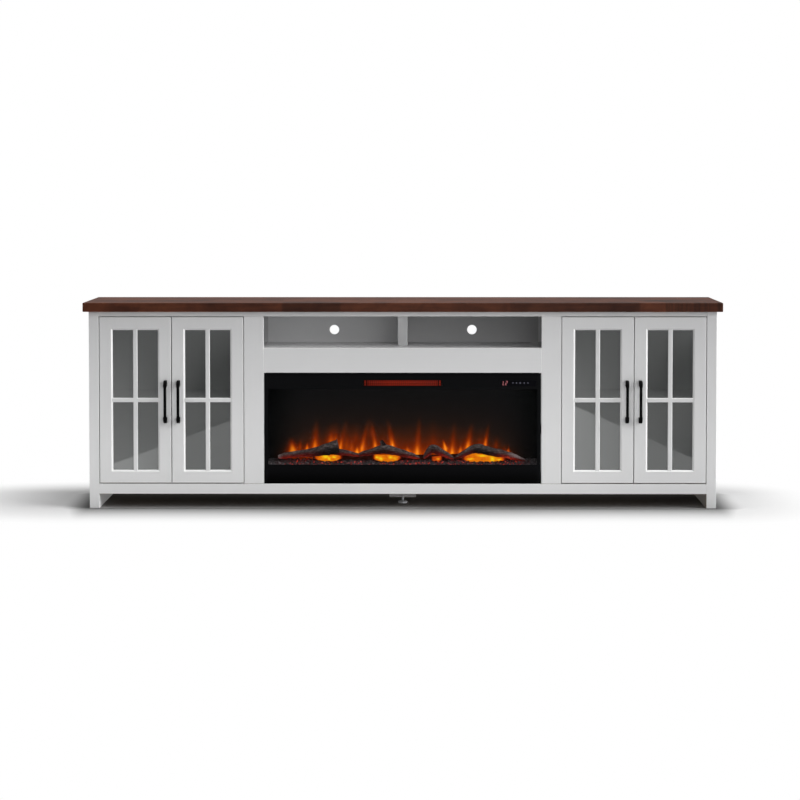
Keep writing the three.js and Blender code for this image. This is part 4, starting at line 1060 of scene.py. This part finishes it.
def add_coals():
    """The ember bed: a slope that falls under each lit patch, with a field of lumps on it."""
    width, depth = (bed_high.x - bed_low.x) / MM, (bed_high.y - bed_low.y) / MM
    x, y = np.meshgrid(np.linspace(0, width, 640), np.linspace(0, depth, 52), indexing="ij")
    lumps, nearest, tint = lump_field(x, y)
    share = y / depth
    slope = 4 + 17 * share + 3 * (rough_noise(x / 60, y / 40, 2) - 0.5)
    for left, right, *_ in GLOW_PATCHES_MM:
        away = np.abs(x + bed_low.x / MM - (left + right) / 2) / ((right - left) / 2)
        slope -= 6.5 * np.exp(-(away**6)) * np.clip(share * 1.6, 0, 1)
    height = 9 + slope + lumps * (0.35 + 0.65 * np.clip(share * 9, 0, 1))
    ends = np.clip((np.abs(x - width / 2) - 440) / 60, 0, 1)
    gaps = np.clip((nearest - 0.55) * 3.2, 0, 1) * (1 - ends)
    heat = gaps * np.clip((rough_noise(x / 24 + 5, y / 14, 3) - 0.30) * 5.0, 0, 1) * 1.15
    ash = np.clip(ends * 0.8 + (tint > 0.78) * 0.5, 0, 1)
    top = (np.stack([x, y, height], -1) * MM + np.array(bed_low)).reshape(-1, 3)
    rim = rim_of(*x.shape)
    base = top[rim]
    base[:, 2] = bed_low.z
    foot = np.arange(len(rim)) + x.size
    walls = np.stack([rim, foot, np.roll(foot, -1), np.roll(rim, -1)], -1)
    fields = {"warmth": heat, "ash": ash}
    values = {key: np.pad(field.ravel(), (0, len(rim))) for key, field in fields.items()}
    faces = [grid_faces(*x.shape), walls, [foot[::-1]]]
    made = make_piece("ember_bed", np.concatenate([top, base]), faces, ember_coals, "log_resin",
                      smooth=False, values=values)
    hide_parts("log_and_ember_bed")


add_coals()
for log_name, log_rows in LOGS_MM.items():
    add_log(log_name, log_rows)
add_glow_sheet()


def add_outlet_mesh():
    """The outlet's fine grille: upright and level wires in a thin border, and a sheet behind
    them that the element lights."""
    left, right = grille_low.x + 8 * MM, grille_high.x - 8 * MM
    bottom, top = grille_low.z, grille_high.z - 4 * MM
    front, back = grille_low.y, grille_high.y
    side, border, inset, wire_back = 4 * MM, 1.6 * MM, 1 * MM, front + 2.2 * MM
    boards = [
        (left, left + side, bottom, top), (right - side, right, bottom, top),
        (left, right, bottom, bottom + border), (left, right, top - border, top),
    ]
    shapes = [
        rounded_board((x_low, front, z_low), (x_high, back, z_high), 0.4 * MM, 2)
        for x_low, x_high, z_low, z_high in boards
    ]
    # Uprights: X, half width, how far back they start, and the radius of their edges
    uprights = [(x, 1.6 * MM, 0.5 * MM, 0.4 * MM) for x in (left + 14 * MM, right - 14 * MM)]
    wires = np.linspace(left + side, right - side, 38)[1:-1]
    uprights += [(x, 0.7 * MM, 1 * MM, 0.3 * MM) for x in wires]
    for x, half, start, radius in uprights:
        low = (x - half, front + start, bottom + inset)
        shapes.append(rounded_board(low, (x + half, wire_back, top - inset), radius, 1))
    for height_share, half in ((0.22, 0.4 * MM), (0.47, 0.9 * MM), (0.75, 0.4 * MM)):
        z = bottom + height_share * (top - bottom)
        low = (left + 3 * MM, wire_back, z - half)
        high = (right - 3 * MM, wire_back + 1 * MM, z + half)
        shapes.append(rounded_board(low, high, 0.3 * MM, 1))
    made = make_piece("outlet_grille", *gather(shapes), coat, "black_metal")
    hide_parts("heater_grille")
    low = (left + 1 * MM, back + 1 * MM, bottom)
    sheet = rounded_board(low, (right - 1 * MM, back + 1.8 * MM, top), 0.3 * MM, 1)
    make_piece("outlet_light", *sheet, element, "hot_element")


def add_window_lip():
    """A thin raised lip round the window's edge: a half round profile carried round it."""
    window_low, window_high = (-519 * MM, 169 * MM), (519 * MM, 462 * MM)
    half_wide, proud, lift = 2.2 * MM, 0.8 * MM, 0.01 * MM
    angle = np.linspace(0, math.pi, 9)
    y = plate_front + lift - proud * np.sin(angle)
    lip = mitred_frame(window_low, window_high, half_wide * (np.cos(angle) - 1), y)
    make_piece("window_lip", *lip, trim, "black_metal")


add_outlet_mesh()
add_window_lip()


# Display numbers and touch marks, as thin flat shapes whose X and height are in millimetres

SIGN_FRONT = panel_front - 0.12 * MM
SIGN_BACK = SIGN_FRONT + 0.1 * MM
MARKS_X_MM, MARKS_HEIGHT_MM = (425.6, 439.9, 454.1, 469.2, 483.8), 486.2
# Strokes of the two numbers, each from and to a place on a frame 1 wide and 1 high
NUMBER_STROKES = {
    "1": [((0.3, 0.0), (0.3, 1.0)), ((0.0, 0.0), (1.0, 0.0)), ((0.3, 1.0), (0.0, 0.8))],
    "2": [((0, 1), (1, 1)), ((1, 1), (1, 0.5)), ((1, 0.5), (0, 0.5)), ((0, 0.5), (0, 0)),
          ((0, 0), (1, 0))],
}


def flat_shape(outline):
    """Points and faces of an outline of X and Z, given thickness."""
    x, z = np.asarray(outline, float).T * MM
    count = len(x)
    layers = [np.stack([x, np.full(count, y), z], -1) for y in (SIGN_FRONT, SIGN_BACK)]
    ring = np.arange(count)
    following = (ring + 1) % count
    walls = np.stack([ring, following, following + count, ring + count], -1)
    return np.concatenate(layers), [walls, ring[None, ::-1], ring[None] + count]


def stroke(start, end, half):
    """Outline of a straight stroke with pointed ends."""
    start, end = np.asarray(start, float), np.asarray(end, float)
    along = (end - start) / np.linalg.norm(end - start)
    side = np.array([-along[1], along[0]]) * half
    inner = along * half
    return [start, start + inner + side, end - inner + side, end, end - inner - side,
            start + inner - side]


def ring_band(centre, outer, inner, steps, start=0.0, end=2 * math.pi):
    """Outlines of the short pieces of a ring between two angles."""
    angle = np.linspace(start, end, steps + 1)
    rim = [np.stack([np.cos(angle), np.sin(angle)], -1) * size + centre for size in (outer, inner)]
    return [[rim[0][k], rim[0][k + 1], rim[1][k + 1], rim[1][k]] for k in range(steps)]


def mark_shapes():
    """Five plain marks: a ring with a bar, three bars, a clock, a lamp and a drop."""
    ring, bars, clock, lamp, drop = (np.array([x, MARKS_HEIGHT_MM]) for x in MARKS_X_MM)
    outlines = [
        *ring_band(ring, 1.9, 1.3, 20, 0.7 * math.pi, 2.3 * math.pi),
        stroke(ring + (0, 0.2), ring + (0, 2.2), 0.3),
        *(stroke(bars + (x, -1.8), bars + (x, 1.8), 0.36) for x in (-1.2, 0.0, 1.2)),
        *ring_band(clock, 2.0, 1.4, 22),
        stroke(clock, clock + (0, 1.3), 0.28), stroke(clock, clock + (1.0, 0), 0.28),
        *ring_band(lamp, 1.2, 0.15, 16),
    ]
    for turn in np.arange(6) * math.pi / 3:
        spoke = np.array([math.cos(turn), math.sin(turn)])
        outlines.append(stroke(lamp + 1.5 * spoke, lamp + 2.2 * spoke, 0.24))
    turn = np.linspace(0, 2 * math.pi, 24, endpoint=False)
    swell = (0.5 - 0.5 * np.cos(turn)) ** 0.35
    outlines.append(np.stack([1.35 * np.sin(turn) * swell, -0.3 - 1.8 * np.cos(turn)], -1) + drop)
    return [flat_shape(outline) for outline in outlines]


def number_shapes():
    """The numbers 1 and 2, made of strokes on a slanted frame."""
    bottom, width, height, slant = 478.5, 6.2, 14.5, 2.2
    shapes = []
    for digit, left in (("1", 385.2), ("2", 396.4)):
        for line in NUMBER_STROKES[digit]:
            ends = [(left + u * width + v * slant, bottom + v * height) for u, v in line]
            shapes.append(flat_shape(stroke(*ends, 0.62)))
    return shapes


display_red = lit_sign("display_red", (1.0, 0.30, 0.33), 0.72)
mark_white = lit_sign("mark_white", (0.74, 0.74, 0.98), 0.55)
for name, shapes, finish, slot in (
    ("display_numbers", number_shapes(), display_red, "hot_element"),
    ("touch_marks", mark_shapes(), mark_white, "black_plastic"),
):
    make_piece(name, *gather(shapes), finish, slot, smooth=False)


# Backs and casing: small fixings


def add_back_fixings():
    """Screws round the back panels' edges and along the fire casing's back."""
    edge, panel_screws = 9 * MM, []
    for side in ("left", "right"):
        low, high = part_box(f"{side}_back_panel")
        rows = np.linspace(low.z + edge, high.z - edge, 6)
        inner_x = low.x + edge if side == "right" else high.x - edge
        for x in np.linspace(low.x + edge, high.x - 12 * MM, 5):
            panel_screws += [(x, high.y, rows[0]), (x, high.y, rows[-1])]
        panel_screws += [(inner_x, high.y, z) for z in rows[1:-1]]
    low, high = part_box("fire_casing")
    casing_screws = [
        (x, high.y, z) for x in np.linspace(low.x + 40 * MM, high.x - 40 * MM, 7)
        for z in (low.z + 12 * MM, high.z - 12 * MM)
    ]
    for name, places, radius, rise in (
        ("back_panel_screws", panel_screws, 3.4 * MM, 1.4 * MM),
        ("casing_screws", casing_screws, 3.2 * MM, 1.8 * MM),
    ):
        heads = [screw_head(place, radius, rise) for place in places]
        make_piece(name, *gather(heads), zinc, "steel")


add_back_fixings()


# Stage, lamps and camera

# The object's footprint, and how far from it the floor turns white, in metres
FOOT_HALF_WIDTH, FOOT_HALF_DEPTH = 1.21, 0.2035
SHADOW_NEAR, SHADOW_FAR = 0.02, 0.45
# The front view: its place, and its tilt, roll and turn in radians
VIEW_X, VIEW_Y, VIEW_HEIGHT = 0.0640, -9.3983, 1.2716
VIEW_TILT, VIEW_ROLL, VIEW_TURN = 0.0455, 0.0003, 0.0080
VIEW_FOCAL_PIXELS, VIEW_PIXELS = 2389.75, 800


def painted_reflection_level(x, y):
    """A painted reflection for the door glass: how bright each place of the floor is in a mirror, light
    between two lines that draw in with distance, and dim outside them. Both pairs of doors are lightest
    at their left side."""
    lane = (1.6215 + y * 0.1954 + x).between(-0.01, 0.01)
    lane = lane * (1.590 + y * 0.150 - x).between(-0.01, 0.01) * (y < -0.9)
    # The place on the doors that mirrors it towards the front view, and how far across its pair
    # of doors that is, from 0 to 1
    door_y = -0.19
    ahead = ((door_y - y) / (door_y - VIEW_Y)).most(0.0)
    at_x = (x + ahead * VIEW_X) / (ahead + 1.0)
    at_z = ahead * VIEW_HEIGHT / (ahead + 1.0)
    right_pair = x > 0.0
    pair = ((at_x + 1.10 - right_pair * 1.78) / 0.43).most(0.0).least(1.0)
    upper = 0.19 - pair * 0.06 + (0.67 - at_z) / 0.22 * (0.20 - pair * 0.50)
    upper = upper + ((0.457 - at_z) / 0.022).most(0.0).least(1.0) * (0.03 + pair * 0.22)
    lower = 0.31 - pair * 0.13 + ((0.40 - at_z) / 0.20).least(1.2) * (0.17 - pair * 0.25)
    dim = lower + (upper - lower) * (at_z > 0.417)
    strong = (at_x.size() > 0.6) * (0.60 - right_pair * 0.17)
    bright = (1.0 - pair / 0.62).most(0.0) * strong + 0.45
    return (dim + (bright - dim) * lane).most(0.0).least(1.0) * 0.875 + 0.125


def pale_floor():
    """Pale floor, whose colour carries a painted shadow, dark close to and under the object. The camera
    sees it turn to plain white away from the object's shadow, by the distance from the object's
    footprint."""
    finish = Finish("floor", (0.82, 0.82, 0.82), 0.9, 0.0)
    grain = finish.noise(180.0, 3.0)
    x, y, _ = finish.axes()
    to_left, to_right = (-x - FOOT_HALF_WIDTH).most(0.0), (x - FOOT_HALF_WIDTH).most(0.0)
    before = (y.size() - FOOT_HALF_DEPTH).most(0.0)
    # Painted shadow: the floor's colour darkens where it comes close to the object, and most under it.
    out_of_shadow = (before / 0.42).least(1.0) ** 0.8 * 0.87 + before.between(0.0, 0.05) * 0.13
    under_case_shadow_level = (y.size() < FOOT_HALF_DEPTH) * (x.size() < FOOT_HALF_WIDTH + 1 * MM)
    under_case_shadow_level = under_case_shadow_level * (0.19 + (-y).between(-0.1, 0.2) * 0.22)
    out_of_shadow = out_of_shadow + (to_left + to_right).between(0.0, 0.12) + under_case_shadow_level
    pale = finish.blend(grain, (0.81, 0.81, 0.81), (0.83, 0.83, 0.83))
    finish.feed(
        Base_Color=finish.blend(out_of_shadow.least(1.0), (0.14, 0.14, 0.14), pale),
        Roughness=0.85 + grain * 0.1,
    )
    away = ((to_left * 0.55 + to_right) ** 2.0 + before**2.0) ** 0.5
    seen = (finish.ray("Camera") + finish.ray("Transmission")).least(1.0)
    white, black = finish.emission(1.0), finish.emission(0.0)
    shown = finish.mix_shaders(seen * away.between(SHADOW_NEAR, SHADOW_FAR), finish.shader, white)
    # Mirrored rays alone see the floor's painted reflection.
    mirrored = finish.mix_shaders(painted_reflection_level(x, y), black, white)
    finish.show(finish.mix_shaders(finish.ray("Glossy"), shown, mirrored))
    return finish.material


def add_floor():
    """One wide square at height 0."""
    mesh = bpy.data.meshes.new("floor")
    reach = 40.0
    corners = [(-reach, -reach, 0), (reach, -reach, 0), (reach, reach, 0), (-reach, reach, 0)]
    mesh.from_pydata(corners, [], [(0, 1, 2, 3)])
    mesh.materials.append(pale_floor())
    add_object("floor", mesh)


def add_world(level):
    """White where it is seen, or mirrored from well above the horizon, and an even soft light of
    the given level elsewhere."""
    world = bpy.data.worlds.new("studio")
    bpy.context.scene.world = world
    sky = Nodes(world, "World")
    height = sky.axes(sky.node("TexCoord", out="Generated"))[2]
    mirrored = height.between(0.38, 0.85, start=0.09) * sky.ray("Glossy")
    seen = (sky.ray("Camera") + sky.ray("Transmission") + mirrored).least(1.0)
    soft, white = (
        sky.node("Background", None, {"Color": (1.0, 1.0, 1.0), "Strength": strength})
        for strength in (level, 1.0)
    )
    sky.show(sky.mix_shaders(seen, soft, white))


def add_lamp(name, place, aim, size, power):
    """A square soft lamp that shines from its place towards its aim."""
    data = bpy.data.lights.new(name, "AREA")
    data.shape = "RECTANGLE"
    data.size, data.size_y = size
    data.energy = power
    lamp = add_object(name, data)
    lamp.location = place
    heading = Vector(aim) - Vector(place)
    lamp.rotation_euler = heading.to_track_quat("-Z", "Y").to_euler()


def add_camera():
    """The front view: its lens, place and tilt come from a fit to the case's corners."""
    data = bpy.data.cameras.new("camera")
    data.sensor_width = 36.0
    data.lens = data.sensor_width * VIEW_FOCAL_PIXELS / VIEW_PIXELS
    data.shift_y = -0.14
    camera = add_object("camera", data)
    camera.location = (VIEW_X, VIEW_Y, VIEW_HEIGHT)
    camera.rotation_euler = (math.pi / 2 - VIEW_TILT, VIEW_ROLL, VIEW_TURN)
    bpy.context.scene.camera = camera


add_floor()
add_world(0.20)
add_lamp("key", (25.0, -13.2, 13.9), (0.0, 0.0, 0.3), (9.7, 9.7), 3350.0)
add_lamp("side", (16.0, -1.9, 4.5), (0.0, 0.0, 0.3), (5.0, 5.0), 900.0)
add_lamp("overhead", (0.2, -0.55, 4.0), (0.2, -0.4, 0.0), (6.0, 1.0), 90.0)
add_lamp("front", (0.8, -4.4, 1.7), (-0.25, 0.0, 0.32), (2.6, 2.0), 28.0)
add_camera()
bpy.context.scene.view_settings.view_transform = "Standard"
